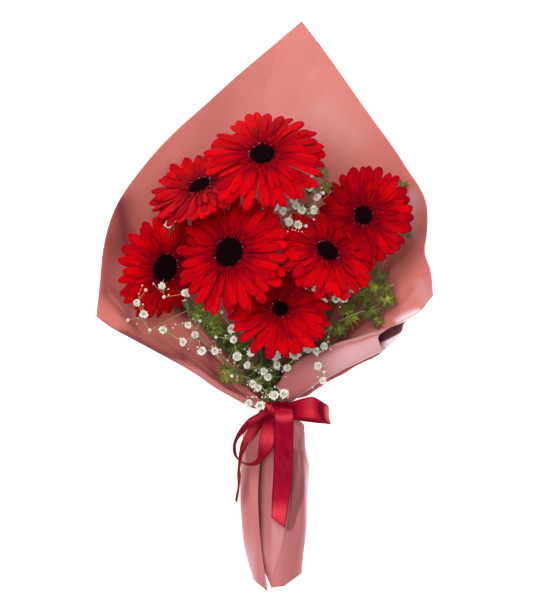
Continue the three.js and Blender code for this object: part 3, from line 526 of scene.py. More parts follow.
# ---- Gerbera heads ----
# centre: where the disc is. tilt and lean: by how many degrees and which way the head leans. reach: how far
# the longest petals go. droop: how far they bend back. nod: how far those on its low side hang. disc: its
# radius. tone: how light the petals are.
HEADS = [
    dict(name="top", centre=(-9.5, 142, 112), tilt=36, lean=(-0.2, 0.97),
         reach=69, droop=16, nod=0, disc=11.4, tone=0.1),
    dict(name="upper_left", centre=(-71.5, 112, 80), tilt=56, lean=(-0.45, 0.89),
         reach=61, droop=-2, nod=12, disc=10.8, tone=0.0),
    dict(name="right", centre=(92.5, 85, 84), tilt=20, lean=(-0.9, -0.1),
         reach=56, droop=8, nod=0, disc=9.0, tone=-0.2),
    dict(name="left", centre=(-111, 33, 71), tilt=42, lean=(0.94, -0.34),
         reach=60, droop=12, nod=0, disc=13.8, tone=0.2),
    dict(name="middle", centre=(-41.3, 46.5, 106), tilt=27, lean=(-0.88, 0.45),
         reach=68, droop=9, nod=0, disc=14.2, tone=0.05),
    dict(name="lower_right", centre=(53.3, 46.5, 101), tilt=42, lean=(0.55, 0.83),
         reach=58, droop=12, nod=6, disc=10.8, tone=0.12),
    dict(name="bottom", centre=(8, -10.3, 91), tilt=25, lean=(0, 1),
         reach=57, droop=6, nod=0, disc=7.4, tone=0.1),
]
HUB_TOP = 3.4

# Rows of petals from back to front: how many, share of the reach, half-width, rise at the root in degrees,
# and height of the root. The rows from SHORT_ROWS_FROM on are the inner florets, which reach `past` the disc.
ROWS = [
    dict(count=21, share=1.0, half=5.3, lift=0, level=0.0),
    dict(count=22, share=0.96, half=5.0, lift=2, level=0.5),
    dict(count=20, share=0.88, half=4.4, lift=5, level=1.0),
    dict(count=26, share=0.72, half=2.8, lift=9, level=1.5),
    dict(count=40, past=20.0, half=1.5, lift=14, level=1.9),
    dict(count=46, past=14.0, half=1.1, lift=24, level=2.4),
    dict(count=40, past=8.5, half=0.8, lift=40, level=2.8),
]
SHORT_ROWS_FROM = 4

PETAL_THICKNESS = 0.35
PETAL_SHARES = np.array([0, 0.1, 0.2, 0.31, 0.42, 0.53, 0.64, 0.74, 0.82, 0.88, 0.93, 0.97, 0.992, 1.0])
RIB = np.array([-0.4, -0.1, 0.05, -0.12, 0.1, -0.12, 0.05, -0.1, -0.4])  # grooves across a petal
ROOT_SLOPE = 8.0  # degrees
SPARED_BELOW = 12.0  # a disc that is higher than the petals by more than this hides them, and isn't spared
SPARED_RING = 4.0  # how much round a disc is kept clear


def head_turn(head):
    lean = Vector((*head["lean"], 0)).normalized()
    tilt = math.radians(head["tilt"])
    normal = Vector((0, 0, 1)) * math.cos(tilt) + lean * math.sin(tilt)
    return np.array(Vector((0, 0, 1)).rotation_difference(normal).to_matrix()), np.array(normal)


def reach_of(head, row, angle):
    """How far a petal may go before it would lie over the disc of another head that is seen whole."""
    if "past" in row:
        return head["disc"] + row["past"] * min(1.0, 0.5 + head["disc"] / 18)
    reach = head["reach"] * row["share"]
    turn, _ = head_turn(head)
    way = (turn @ np.array([math.cos(angle), math.sin(angle), 0]))[:2]
    seen_share = np.linalg.norm(way)
    for other in HEADS:
        if other is head or other["centre"][2] > head["centre"][2] + SPARED_BELOW:
            continue
        apart = np.array(other["centre"][:2], float) - head["centre"][:2]
        along = apart @ way / seen_share
        off = abs(apart[0] * way[1] - apart[1] * way[0]) / seen_share
        near = other["disc"] + SPARED_RING
        if along > 0 and off < near:
            reach = min(reach, (along - math.sqrt(near**2 - off**2)) / seen_share)
    return reach


def bowl_profile(length, full, lift, fall):
    """How far out and how high a petal is at shares of its length.

    All the petals follow one bowl, whose slope goes from ROOT_SLOPE at the disc to `fall` at the full reach.
    """
    shares = np.linspace(0, 1.1, 60)
    angle = np.radians(lerp(ROOT_SLOPE, fall, shares * length / full) + lift * (1 - 1.7 * shares))
    step = shares[1] * length
    out = np.concatenate([[0], np.cumsum(np.cos(angle))[:-1] * step])
    up = np.concatenate([[0], np.cumsum(np.sin(angle))[:-1] * step])
    return shares, out, up


def petal_grid(length, full, half, lift, fall, rng, short):
    """One petal along +X from its root, as a grid of points and the share of the length at each."""
    s = PETAL_SHARES[:, None]
    t = np.linspace(-1, 1, len(RIB))[None]
    round_from = 0.5 if short else 0.8
    tip = np.sqrt(np.clip(1 - np.clip((s - round_from) / (1 - round_from), 0, 1) ** 2, 0, 1))
    width = half * (0.34 + 0.66 * smooth(s, 0, 0.72)) * np.maximum(tip, 0.02)
    notch = 0 if short else 0.03 * rng.random() * (1 - np.abs(t)) * smooth(s, 0.9, 1.0)
    shares, out, up = bowl_profile(length, full, lift, fall)
    x = np.interp(s - notch, shares, out)
    z = np.interp(s - notch, shares, up)
    bend = rng.normal(0, 0.035) * length
    curl = rng.normal(0, 0.3)
    groove = 0.5 * RIB[None] * smooth(s, 0.02, 0.25)
    cup = half * (groove + (0.22 + 0.2 * rng.random()) * t**2 * (1 - smooth(s, 0.1, 0.6)))
    wave = 0.06 * half * np.sin(s * 9 + rng.random() * 6) * t
    grid = stack(x, t * width + bend * s**2, z + cup * 0.7 + curl * t * width * 0.25 * s + wave)
    return grid, np.broadcast_to(s, grid.shape[:2])


def make_petals(head, index):
    turn, _ = head_turn(head)
    centre = np.array(head["centre"], float)
    rng = np.random.default_rng(100 + index)
    shape = Shape()
    uv = stack(np.linspace(0.02, 0.98, len(RIB))[None], PETAL_SHARES[:, None])
    root = head["disc"] + 0.6
    full = head["reach"] - root
    lean = unit([*head["lean"], 0])
    for k, row in enumerate(ROWS):
        short = k >= SHORT_ROWS_FROM
        for i in range(row["count"]):
            angle = 2 * math.pi * (i + 0.5 * (k % 2) + 0.5 * (rng.random() - 0.5)) / row["count"]
            reach = reach_of(head, row, angle) * (1 - (0.22 if short else 0.07) * rng.random())
            jitter = rng.normal(0, 1, 2)
            # The petals on the far side of a leaning head stand up by its nod, and the others hang.
            facing = unit(turn @ [math.cos(angle), math.sin(angle), 0]) @ lean
            fall = -1.5 * head["droop"] - 6 + head["nod"] * facing + 6 * jitter[1]
            lift = row["lift"] + (5 if short else 2) * jitter[0]
            half = row["half"] * rng.uniform(0.84, 1.12)
            grid, share = petal_grid(max(reach - root, 4), full, half, lift, fall, rng, short)
            grid[..., 0] += root - (1.2 if short else 3.0)
            grid[..., 2] += row["level"] + 0.4 + 0.2 * (i % 3)
            grid[..., 2] += grid[..., 1] * math.sin(rng.normal(0, 0.16))
            tone = np.clip(rng.random() * (1.0 if short else 0.85) + head["tone"], 0, 1)
            shape.grid(centre + turned(grid, angle) @ turn.T, stack(share, k / (len(ROWS) - 1), tone),
                       uv + [rng.integers(0, 40), rng.random() * 9])
    piece = make(f"gerbera_{head['name']}_petals", shape, [PETAL])
    thicken(piece, PETAL_THICKNESS)


# ---- The discs of the heads ----
GOLDEN_ANGLE = math.pi * (3 - math.sqrt(5))
DISC_FLORETS, RIM_FLORETS = 1.55, 4.2  # for each square of the radius, and for each millimetre of it


def floret_bud(radius, height, sides, open_end):
    """A little tube floret along +Z: its points, faces, and its height share at each point."""
    levels = [(0.0, 0.7), (0.55, 1.0), (0.85, 0.8), (1.0, 1.15 if open_end else 0.25)]
    wall = revolved([(radius * r, height * h) for h, r in levels], around(sides)).reshape(-1, 3)
    middle = [0, 0, height * (0.8 if open_end else 1.1)]
    shares = [h for h, _ in levels for _ in range(sides)] + [0.3 if open_end else 1.0]
    top = (len(levels) - 1) * sides
    faces = grid_faces(len(levels), sides, closed=True)
    faces += [(top + i, top + (i + 1) % sides, len(wall)) for i in range(sides)]
    return np.vstack([wall, middle]), faces, np.array(shares)


def dome_height(radius, share):
    return HUB_TOP - 1.2 + 0.36 * radius * np.sqrt(np.clip(1 - 0.93 * share**2, 0, 1))


def disc_florets(radius, rng):
    """The closed florets of the disc in a spiral, then the open ones of its border.

    Each is given as its share of the radius, its angle, its height, how far it leans out, and if it is open.
    """
    count = int(DISC_FLORETS * radius**2)
    for i in range(count):
        share = math.sqrt((i + 0.5) / count) * 0.95
        yield share, i * GOLDEN_ANGLE, rng.uniform(1.1, 1.9), 0.75 * share, False
    rim_count = int(RIM_FLORETS * radius)
    for i in range(count, count + rim_count):
        share = rng.uniform(0.96, 1.07)
        angle = 2 * math.pi * (i + rng.uniform(-0.5, 0.5)) / rim_count
        yield share, angle, rng.uniform(1.6, 4.2), rng.uniform(0.5, 1.6) * share, True


def make_disc(head, index):
    turn, _ = head_turn(head)
    centre = np.array(head["centre"], float)
    rng = np.random.default_rng(200 + index)
    shape = Shape()
    radius = head["disc"]
    dome = [(radius * share, dome_height(radius, share)) for share in np.linspace(1, 0, 7)]
    shape.grid(centre + revolved(dome, around(24)) @ turn.T, closed=True)
    for share, angle, height, slant, is_open in disc_florets(radius, rng):
        bud, faces, levels = floret_bud(0.36 if is_open else 0.42, height, 5, is_open)
        lean = Vector((math.cos(angle) * slant, math.sin(angle) * slant, 1))
        tip = np.array(Vector((0, 0, 1)).rotation_difference(lean).to_matrix())
        foot = np.array([radius * share * math.cos(angle), radius * share * math.sin(angle),
                         dome_height(radius, share)])
        mark = stack(1.0 if is_open else share, levels, rng.random())
        shape.add(centre + (bud @ tip.T + foot) @ turn.T, faces, mark)
    make(f"gerbera_{head['name']}_disc", shape, [DISC])


# ---- Stems ----
STEM_SLOTS = dict(top=None, right=330, lower_right=30, bottom=90, middle=150, left=210, upper_left=270)
STEM_WAYPOINTS = dict(
    middle=[(-26, 4, 50)],
    left=[(-18, -82, 22), (-66, -30, 34), (-110, 20, 46)],
    upper_left=[(-5, -60, 16), (-48, 30, 30)],
    right=[(34, -60, 22), (86, 42, 30)],
)
CUT_END_SINK = 4.5  # how much lower the stems lie at their cut ends than at the tie
HAIRS = 420  # on each gerbera stem
CALYX_DEPTH = 18.0
CALYX_RINGS = [(10.3, -0.6), (9.9, -3), (9.2, -7), (7.6, -10.4), (5.2, -13.2), (3.1, -CALYX_DEPTH)]
# How many bracts, and the heights and the radii from which and to which they go.
BRACT_ROWS = [(13, -15, -6.5, 4.4, 9.9), (16, -12, -2.6, 6.6, 10.7), (18, -8.5, 1.0, 8.9, 11.3)]
PITH_RINGS = [(2.95, -0.06), (1.2, -0.1), (1.0, 0.8), (0.0, 0.8)]  # radius, and depth in the stem


def slot_at(radius, degrees):
    a = math.radians(degrees)
    return TIE + np.array([radius * math.cos(a), 0, radius * math.sin(a)])


def through_tie(at):
    """The knots of a stem from its cut end to just past the tie."""
    gather = 0.92
    end = [lerp(TIE[0], at[0], gather), STEM_END_Y, lerp(TIE[2], at[2], gather) - CUT_END_SINK]
    return [end, at - [0, 12, 0], at, at + [0, 12, 0]]


def way_through(knots, per_knot=8):
    return line_through(knots, per_knot * (len(knots) - 1) + 1)


def stem_line(head):
    """From the cut end through the tie and up to the calyx."""
    _, normal = head_turn(head)
    angle = STEM_SLOTS[head["name"]]
    at = slot_at(0, 0) if angle is None else slot_at(STEM_PITCH, angle)
    neck = np.array(head["centre"], float) - normal * (CALYX_DEPTH - 1.5)
    below = neck - normal * 16
    way = STEM_WAYPOINTS.get(head["name"], [lerp(at, below, 0.55) - [0, 0, 6]])
    return way_through([*through_tie(at), *[np.array(w, float) for w in way], below, neck])


def add_pith(shape, end):
    """The cut end shows a paler pith with a hollow middle."""
    a = around(16)
    radii, depths = np.array(PITH_RINGS).T[..., None]
    shape.grid(stack(radii * np.cos(a), depths, radii * np.sin(a)) + end, (0, 0, 0.9), kind=1, closed=True)


def add_hairs(shape, points, rng):
    along, side, up = frames_along(points)
    for _ in range(HAIRS):
        i = rng.integers(8, len(points) - 1)
        x = rng.random() * 2 * math.pi
        out = side[i] * math.cos(x) + up[i] * math.sin(x)
        root = points[i] + along[i] * rng.uniform(-2, 2) + out * STEM_RADIUS * 0.93
        tip = root + out * rng.uniform(0.8, 1.5) + along[i] * rng.uniform(-0.5, 0.5)
        across = along[i] * 0.09
        shape.add([root - across, root + across, tip], [(0, 1, 2)], (0, 0, 1))


def bract_grid(angle, half, z0, z1, r0, r1):
    """A pointed bract on the calyx, raised along its middle."""
    s = np.array([0, 0.35, 0.7, 1])[:, None]
    a = angle + half * np.array([-1, 0, 1]) * (1 - s**2.2)
    radius = lerp(r0, r1, s)
    grid = stack(radius * np.cos(a), radius * np.sin(a), lerp(z0, z1, s))
    grid[:, 1, :2] *= 1.05
    return grid


def add_calyx(shape, head, rng):
    """The cup of bracts behind the head."""
    turn, _ = head_turn(head)
    centre = np.array(head["centre"], float)
    shape.grid(centre + revolved(CALYX_RINGS, around(28)) @ turn.T, (0, 0, 0.3), kind=2, closed=True)
    for k, (count, *ends) in enumerate(BRACT_ROWS):
        for i in range(count):
            bract = bract_grid(2 * math.pi * (i + 0.5 * (k % 2)) / count, math.pi / count * 0.95, *ends)
            shape.grid(centre + bract @ turn.T, (0, 0, rng.random()), kind=2)


def make_stem(head, index):
    rng = np.random.default_rng(300 + index)
    shape = Shape()
    points = stem_line(head)
    radii = STEM_RADIUS * 0.97 * (1 + 0.03 * np.sin(np.linspace(0, 40, len(points))))
    tube(shape, points, radii, 16, (0, 0, rng.random()), ribs=0.025)
    add_pith(shape, points[0])
    add_hairs(shape, points, rng)
    add_calyx(shape, head, rng)
    make(f"gerbera_{head['name']}_stem", shape, [STEM_GREEN, CUT_END, BRACT_GREEN])


for number, head in enumerate(HEADS):
    make_petals(head, number)
    make_disc(head, number)
    make_stem(head, number)

# ---- The film wrap: its form ----
# Points on the film's upper edge, from its free left end over the tip to the right end.
RIM = np.array([seen(*p) for p in [
    (-176.8, -17, 84), (-174, 10, 80), (-170, 50, 73), (-156.5, 95, 62), (-129.5, 135, 47), (-63, 200, 22),
    (-6, 250, 8), (29.3, 279, 2), (52, 250, 8), (87.5, 200, 22), (133, 135, 47), (153, 100, 62),
    (154.6, 65, 72), (153.2, 48, 77), (159, 30, 84), (161.2, 4, 92)]])
TIP_STATION = 7
left_rim = smooth_curve(RIM[:TIP_STATION + 1], CHORDAL)
right_rim = smooth_curve(RIM[TIP_STATION:], CHORDAL)

WALL_START, NECK_RADIUS = 10.0, 21.5  # how far above the tie the wall starts, and its radius there
WRAP_FROM, WRAP_SWEEP = 107.0, 345.0  # degrees round the neck, from the free edge
# How far the wall's two side edges bulge, from the neck to the rim, and which way.
EDGE_BELLY = plain_curve([10, 14.5, 14, 12.5, 9, 7, 6, 5, 4, 3, 0])
RIGHT_BELLY = plain_curve([0, 0, 0, 0, 0, 0, 1, 3, 5, 6, 0])
EDGE_BELLY_WAY, RIGHT_BELLY_WAY = np.array([-0.44, -0.9, 0.0]), np.array([0.5, -0.87, 0.0])

# The skirt from the tie to the hem: its two sides, its depth, and the inner edges of its front panels.
SKIRT_LEFT = plain_curve(
    [(-27.5, -125), (-31.5, -152), (-32.4, -180), (-31, -212), (-28.8, -243), (-19.5, -280)])
SKIRT_RIGHT = plain_curve([(30.5, -125), (34, -152), (36.3, -175), (35, -212), (32.7, -243), (29.5, -273)])
SKIRT_DEPTH = plain_curve([21.5, 22, 22, 22, 22, 22.5])
LEFT_PANEL_EDGE = plain_curve([3, -10, -14, -14, -11, -5])
RIGHT_PANEL_EDGE = plain_curve([6, 16, 18, 17, 9, -2])
LEFT_HEM_SLANT, RIGHT_HEM_SLANT, BACK_HEM_RISE = 23, 14.4, 26

UNDER_RIBBON = 7.5  # how far from the tie the film is pressed in
PRESS = 6.0  # how much the wall is pressed flat against the floor
OVER_FLOOR = 0.02  # how near the film comes to it
FILM_SHOWN = 0.4
# How the film runs, as a share of its rows: skirt, under the ribbon, wall.
SKIRT_PART, BELOW_PART, TIE_PART, WALL_FOOT = 0.30, 0.36, 0.40, 0.47
FOOT_SHARE = 1 / 8  # of the wall, where it leaves the neck


def rim_at(u):
    """The film's upper edge, with a sharp corner at the tip."""
    u = np.asarray(u, float)
    on_left = (u < 0.5)[..., None]
    return np.where(on_left, left_rim(np.minimum(2 * u, 1)), right_rim(np.maximum(2 * u - 1, 0)))


def wrap_angle(u):
    return np.radians(WRAP_FROM + WRAP_SWEEP * u)


def at_neck(u, radius, y):
    a = wrap_angle(u)
    return stack(TIE[0] + radius * np.cos(a), y, TIE[2] + radius * np.sin(a))


def wall_point(u, w):
    """The wall at the share w of the way from the neck to the rim."""
    foot = at_neck(u, NECK_RADIUS, TIE[1] + WALL_START)
    rim = rim_at(u)
    edge = smooth(np.abs(2 * u - 1), 0.7, 1)
    p = lerp(foot, rim, w[..., None])
    sag = lerp(1.9, 1, edge)
    p[..., 2] = foot[..., 2] * (1 - w) ** sag + rim[..., 2] * w**sag
    left = EDGE_BELLY(w)[..., 0] * (1 - smooth(u, 0, 0.16))
    right = RIGHT_BELLY(w)[..., 0] * smooth(u, 0.9, 1)
    return p + left[..., None] * EDGE_BELLY_WAY + right[..., None] * RIGHT_BELLY_WAY


def skirt_point(u, w):
    """The skirt at the share w of the way from the tie to the hem."""
    left, right = SKIRT_LEFT(w), SKIRT_RIGHT(w)
    middle, half = (left[..., 0] + right[..., 0]) / 2, (right[..., 0] - left[..., 0]) / 2
    depth = SKIRT_DEPTH(w)[..., 0]

    def angle(x):
        return np.arccos(np.clip((x - middle) / half, -1, 1))

    a = lerp(angle(LEFT_PANEL_EDGE(w)[..., 0]), 2 * np.pi + angle(RIGHT_PANEL_EDGE(w)[..., 0]), u)
    side = (1 - np.cos(a)) / 2
    back = BACK_HEM_RISE * smooth(-np.sin(a), 0.2, 0.9)
    # Each front panel's hem slants down to its inner corner.
    slant = np.where(u < 0.5, LEFT_HEM_SLANT, RIGHT_HEM_SLANT) * smooth(np.sin(a), 0.0, 0.2)
    front = slant * np.minimum(1 - np.abs(np.cos(a)), 0.72)
    y = lerp(right[..., 1], left[..., 1], side) + (back - front) * w**3
    return seen(middle + half * np.cos(a), y, depth + depth * np.sin(a) * (1 - 0.12 * w))


def wrap_point(u, v):
    """The film from the hem (v = 0) to the rim (v = 1), and round it from the free edge (u = 0)."""
    def part(a, b):
        return np.clip((v - a) / (b - a), 0, 1)

    below = at_neck(u, WAIST_RADIUS, TIE[1] - UNDER_RIBBON)
    above = at_neck(u, WAIST_RADIUS, TIE[1] + UNDER_RIBBON)
    p = skirt_point(u, 1 - part(0, SKIRT_PART))
    p = lerp(p, below, smooth(part(SKIRT_PART, BELOW_PART), 0, 1)[..., None])
    p = lerp(p, above, part(BELOW_PART, TIE_PART)[..., None])
    wall = wall_point(u, lerp(FOOT_SHARE, 1.0, part(WALL_FOOT, 1)))
    wall[..., 2] = np.maximum(wall[..., 2] - PRESS, 0)
    foot = wall_point(u, np.full_like(u, FOOT_SHARE))
    foot[..., 2] = np.maximum(foot[..., 2] - PRESS, 0)
    rise = part(TIE_PART, WALL_FOOT)
    shoulder = lerp(above, foot, rise[..., None])
    shoulder[..., 1] -= 6 * np.sin(np.pi * rise) * (1 - smooth(u, 0, 0.16))
    p = np.where((v > TIE_PART)[..., None], shoulder, p)
    return np.where((v > WALL_FOOT)[..., None], wall, p)


def grid_normals(p):
    du = np.gradient(p, axis=1)
    dv = np.gradient(p, axis=0)
    return unit(np.cross(du, dv))


def add_sheet(shape, p, inner_kind=0, outer_kind=1, mark=(0, 0, 0), under=(0, 0, 0)):
    """Film between p and p moved along its normals, with its edges closed. mark is for the moved side."""
    q = p + grid_normals(p) * FILM_SHOWN
    rows, columns = p.shape[:2]
    uv = stack(np.linspace(0, 1, columns)[None], np.linspace(0, 1, rows)[:, None])
    start = shape.count
    under = np.asarray(under, float)
    shape.grid(q, mark, uv, inner_kind)
    shape.grid(p[:, ::-1], under[:, ::-1] if under.ndim > 1 else under, uv[:, ::-1], outer_kind)
    last_row, last_column = rows - 1, columns - 1

    def top(j, i):
        return start + j * columns + i

    def low(j, i):
        return start + (rows + j) * columns + last_column - i

    edges = []
    for i in range(last_column):
        edges.append((top(0, i + 1), top(0, i), low(0, i), low(0, i + 1)))
        edges.append((top(last_row, i), top(last_row, i + 1), low(last_row, i + 1), low(last_row, i)))
    for j in range(last_row):
        edges.append((top(j, 0), top(j + 1, 0), low(j + 1, 0), low(j, 0)))
        edges.append((top(j + 1, last_column), top(j, last_column),
                      low(j, last_column), low(j + 1, last_column)))
    shape.faces += edges
    shape.kinds += [outer_kind] * len(edges)


# ---- The film wrap: its folds, and its painted shade and light ----
# Lines as seen from above: the two ends of each, how strong it is, and how wide.
# Folds of the wall, with ridges above 0, and of the skirt.
FOLDS = [
    ((-167, 8), (-132, -32), -3.4, 7), ((-158, 38), (-60, -62), 1.6, 14), ((-150, 90), (-110, 20), -1.8, 9),
    ((-104, 148), (-60, 120), 1.4, 8), ((130, 132), (90, 120), -1.4, 9), ((150, 60), (120, 20), 1.6, 9),
    ((-74, -32), (-44, -66), 3.0, 7), ((-98, -50), (-86, -66), -2.2, 6), ((-66, -52), (-56, -84), -2.6, 8),
    ((-54, -78), (-30, -98), 1.8, 5), ((128, 40), (112, 6), 1.6, 7), ((146, 10), (128, -14), 1.4, 7),
]
SKIRT_FOLDS = [
    ((30, -135), (15, -232), 2.6, 8), ((37, -165), (26, -262), 1.6, 7), ((22, -128), (31, -175), -2.0, 6),
    ((-29, -140), (-20, -215), 1.6, 8), ((-22, -205), (-14, -270), -1.0, 7),
]
# Painted shade, painted light and painted hollow shade inside the wall, and painted sheen on the film under
# the collar.
SHADES = [
    ((-156, 106), (-147, 38), 1.0, 24), ((-164, 66), (-170, 4), 0.4, 12), ((-163, 12), (-134, -30), 0.75, 8),
    ((-153, -31), (-92, -65), 0.95, 11), ((-100, -2), (-82, -22), 1.0, 14), ((-94, -50), (-88, -62), 0.55, 8),
    ((-80, -34), (-72, -52), 0.35, 8), ((-68, -48), (-54, -84), 0.7, 13), ((-52, -40), (-36, -52), 0.9, 10),
    ((-60, -84), (-24, -104), 0.4, 7), ((116, 0), (122, -16), 0.3, 9),
    ((20, 60), (70, 20), 0.5, 60), ((-50, -40), (20, -90), 0.5, 26),
]
LIGHTS = [((45, 205), (95, 160), 0.3, 32), ((143, 110), (139, 60), 1.0, 12), ((150, 20), (155, -5), 0.5, 10)]
PAINTED_HOLLOW_SHADES = [((-99, -3), (-86, -14), 0.85, 13), ((-52, -40), (-38, -48), 0.8, 9)]
PAINTED_UNDER_COLLAR_SHEEN = [((18, -108), (112, -48), 0.6, 14), ((125, -22), (149, -10), 0.8, 5)]
# The gathers at the tie: how many waves round it, their phase, and their height.
GATHERS = [(17, 0.4, 1.0), (26, 2.1, 0.8), (39, 4.0, 0.4), (9, 1.3, 0.9)]
# Painted lilac sheen on the skirt's sides, and painted shade in the pocket of its right panel.
PAINTED_SHEEN_LEFT, PAINTED_SHEEN_RIGHT = (14, 22), (31, 36)  # from where to where the skirt's sides turn pale
POCKET_SIDE, POCKET_NARROWS = 31.5, 9  # the right side of the dark pocket, and how much it moves in
POCKET_END, POCKET_ROUND = 237, 8  # the pocket's lower end, and how much its corner is rounded


def line_height(lines, x, y):
    """The lines' heights at the places x, y."""
    total = np.zeros_like(x)
    for (x0, y0), (x1, y1), depth, width in lines:
        way = np.array([x1 - x0, y1 - y0], float)
        length = np.linalg.norm(way)
        t = ((x - x0) * way[0] + (y - y0) * way[1]) / length**2
        off = np.abs((x - x0) * way[1] - (y - y0) * way[0]) / length
        total += depth * band(t, -0.15, 0.12, 0.8, 1.15) * np.clip(1 - off / width, 0, 1) ** 1.3
    return total


def gather_height(a, far):
    """Gathers run through the tie, are pressed in under the ribbon, and fade away from it."""
    gather = 0
    for waves, phase, size in GATHERS:
        gather = gather + size * np.sin(waves * a + phase + 0.02 * far + 1.2 * np.sin(3 * a + 0.03 * far))
    away = np.abs(far)
    fade = np.where(far > 0, np.exp(-(away / 50) ** 1.3), np.exp(-(away / 20) ** 1.5))
    height = gather * fade * (0.25 + 0.95 * smooth(away, 7.0, 16.0))
    return np.where(away < 9, np.abs(height) * 0.5, height)


def front_of_skirt(a, far):
    return smooth(-far, 14, 40) * smooth(np.sin(a), 0.1, 0.5)


def wrap_relief(p, u):
    """How far the gathers, folds and broad waves lift the film off its smooth form p."""
    a = wrap_angle(u)
    x, y = p[..., 0], p[..., 1]
    far = y - TIE[1]
    wall = 1.3 * soft_noise(x / 90, y / 120, 5) + line_height(FOLDS, x, y)
    height = gather_height(a, far) + smooth(far, 20, 90) * wall
    height = height + smooth(-far, 14, 40) * 0.8 * soft_noise(x / 34, y / 90, 8)
    height = height - front_of_skirt(a, far) * line_height(SKIRT_FOLDS, x, y)
    return height * smooth(np.minimum(u, 1 - u), -0.02, 0.03)


def wall_marks(x, y, far, u):
    """The inner side's painted hollow shade, painted light and painted shade, and the painted sheen on the
    film under the collar.
    """
    def over_wall(lines):
        return np.where(far > 0, np.clip(line_height(lines, x, y), 0, 1), 0)

    lip = smooth(far, 4, 12) * np.clip(line_height(PAINTED_UNDER_COLLAR_SHEEN, x, y), 0, 1) * smooth(u, 0.72, 0.8)
    return stack(over_wall(PAINTED_HOLLOW_SHADES), np.maximum(0.3 * over_wall(LIGHTS), lip), over_wall(SHADES)), lip


def skirt_marks(x, y, front, lip):
    """The outer side: painted lilac sheen on its edges, and painted shade on the right panel, in its pocket
    and in a pleat under the bow.
    """
    left = smooth(-x, *PAINTED_SHEEN_LEFT) * smooth(-y, 225, 275)
    right = smooth(x, *PAINTED_SHEEN_RIGHT) * smooth(-y, 150, 190) * (1 - 0.5 * smooth(-y, 235, 275))
    painted_sheen = front * 0.75 * np.maximum(right, 0.3 * left)
    side = POCKET_SIDE - POCKET_NARROWS * smooth(-y, 196, 232)
    end = POCKET_END - POCKET_ROUND * np.clip((x - 16) / 8, 0, 1) ** 2
    pocket = band(x, 12, 14, side, side + 2) * band(-y, 146, 156, end - 2, end + 1.5)
    pleat = band(x, 25.5, 27, 31, 33) * band(-y, 126, 130, 150, 154)
    # Painted shade: the pocket, the pleat, and the right part of the skirt.
    shade = front * np.maximum(np.maximum(0.8 * pocket, 0.75 * pleat), 0.3 * smooth(x, 4, 12))
    return stack(0, np.maximum(painted_sheen, lip), shade)


def add_film(shape):
    u, v = np.meshgrid(np.linspace(0, 1, 341), np.linspace(0, 1, 300))
    p = wrap_point(u, v)
    x, y = p[..., 0], p[..., 1]
    far = y - TIE[1]
    inner, lip = wall_marks(x, y, far, u)
    outer = skirt_marks(x, y, front_of_skirt(wrap_angle(u), far), lip)
    p = p + grid_normals(p) * wrap_relief(p, u)[..., None]
    p[..., 2] = np.maximum(p[..., 2], OVER_FLOOR)
    add_sheet(shape, p, mark=inner, under=outer)


def add_hem(shape):
    """The free lower-left edge of the film, rolled into a hem that gets thinner towards the corner."""
    v, u = np.meshgrid(np.linspace(0, 1, 120), np.linspace(0, 1, 18))
    edge = wrap_point(np.zeros_like(v), lerp(TIE_PART + 0.025, 0.985, v))
    edge[..., 2] = np.maximum(edge[..., 2], 1)
    inward = unit(np.cross(unit(np.gradient(edge, axis=1)), [0.0, 0.0, 1.0]))
    taper = lerp(1.0, 0.22, smooth(v, 0.42, 0.62)) * smooth(v, -0.02, 0.04)
    size = 3.0 * taper * (1 + 0.15 * soft_noise(v * 6, u * 0, 77))
    a = np.radians(lerp(200, 15, u))
    lift = np.array([0, 0, 1.0]) * (size * 0.8 * np.sin(a) + 0.9)[..., None]
    hem = edge - inward * (size * (np.cos(a) - 0.9))[..., None] + lift
    # Painted shade on the hem from about its middle to near the corner.
    add_sheet(shape, hem, 1, 0, mark=stack(0, 0, 0.9 * band(v, 0.4, 0.6, 0.86, 0.9)))


def add_inner_panel(shape):
    """The panel of the skirt that is folded back and seen in the gap between the other two."""
    u, v = np.meshgrid(np.linspace(0, 1, 50), np.linspace(0, 1, 120))
    w = lerp(0.985, 0.06, v)
    left = LEFT_PANEL_EDGE(w)[..., 0] + lerp(-6, 3.2, smooth(w, 0.8, 1.0))
    x = lerp(left, np.maximum(RIGHT_PANEL_EDGE(w)[..., 0] + 3, left + 4), u)
    y = (SKIRT_LEFT(w)[..., 1] + SKIRT_RIGHT(w)[..., 1]) / 2 - 11 * w**3
    top = skirt_point(np.ones_like(w), w)[..., 2]
    z = top - 0.4 - 9.0 * (1 - smooth(u, 0.05, 0.85)) * (1 - 0.7 * w**6) - 1.5 * u
    z = z + 0.5 * soft_noise(x / 14, y / 60, 31)
    # A dark maroon painted shade along its left side, under the left panel, and a little painted light on its
    # right part towards the hem.
    deep = 0.88 * (1 - smooth(u, 0.12, 0.4)) * (1 - smooth(w, 0.86, 1.0))
    lit = 0.08 * smooth(u, 0.3, 0.6) * smooth(w, 0.3, 0.5)
    add_sheet(shape, seen(x, y, z), 1, 0, mark=stack(deep, lit, 0))


# ---- The rolled collar at the front right ----
# Stations from the tie to the end: where it is seen (x, y), its height, and its half-width and half-depth.
COLLAR = [(10, -94, 46, 11, 4), (32.5, -74, 56, 15, 6), (62.5, -58.5, 66, 13.8, 7), (95.5, -45, 75, 11, 7.5),
          (122, -33.5, 84, 7.6, 6.5), (146, -20, 88, 3.4, 3)]
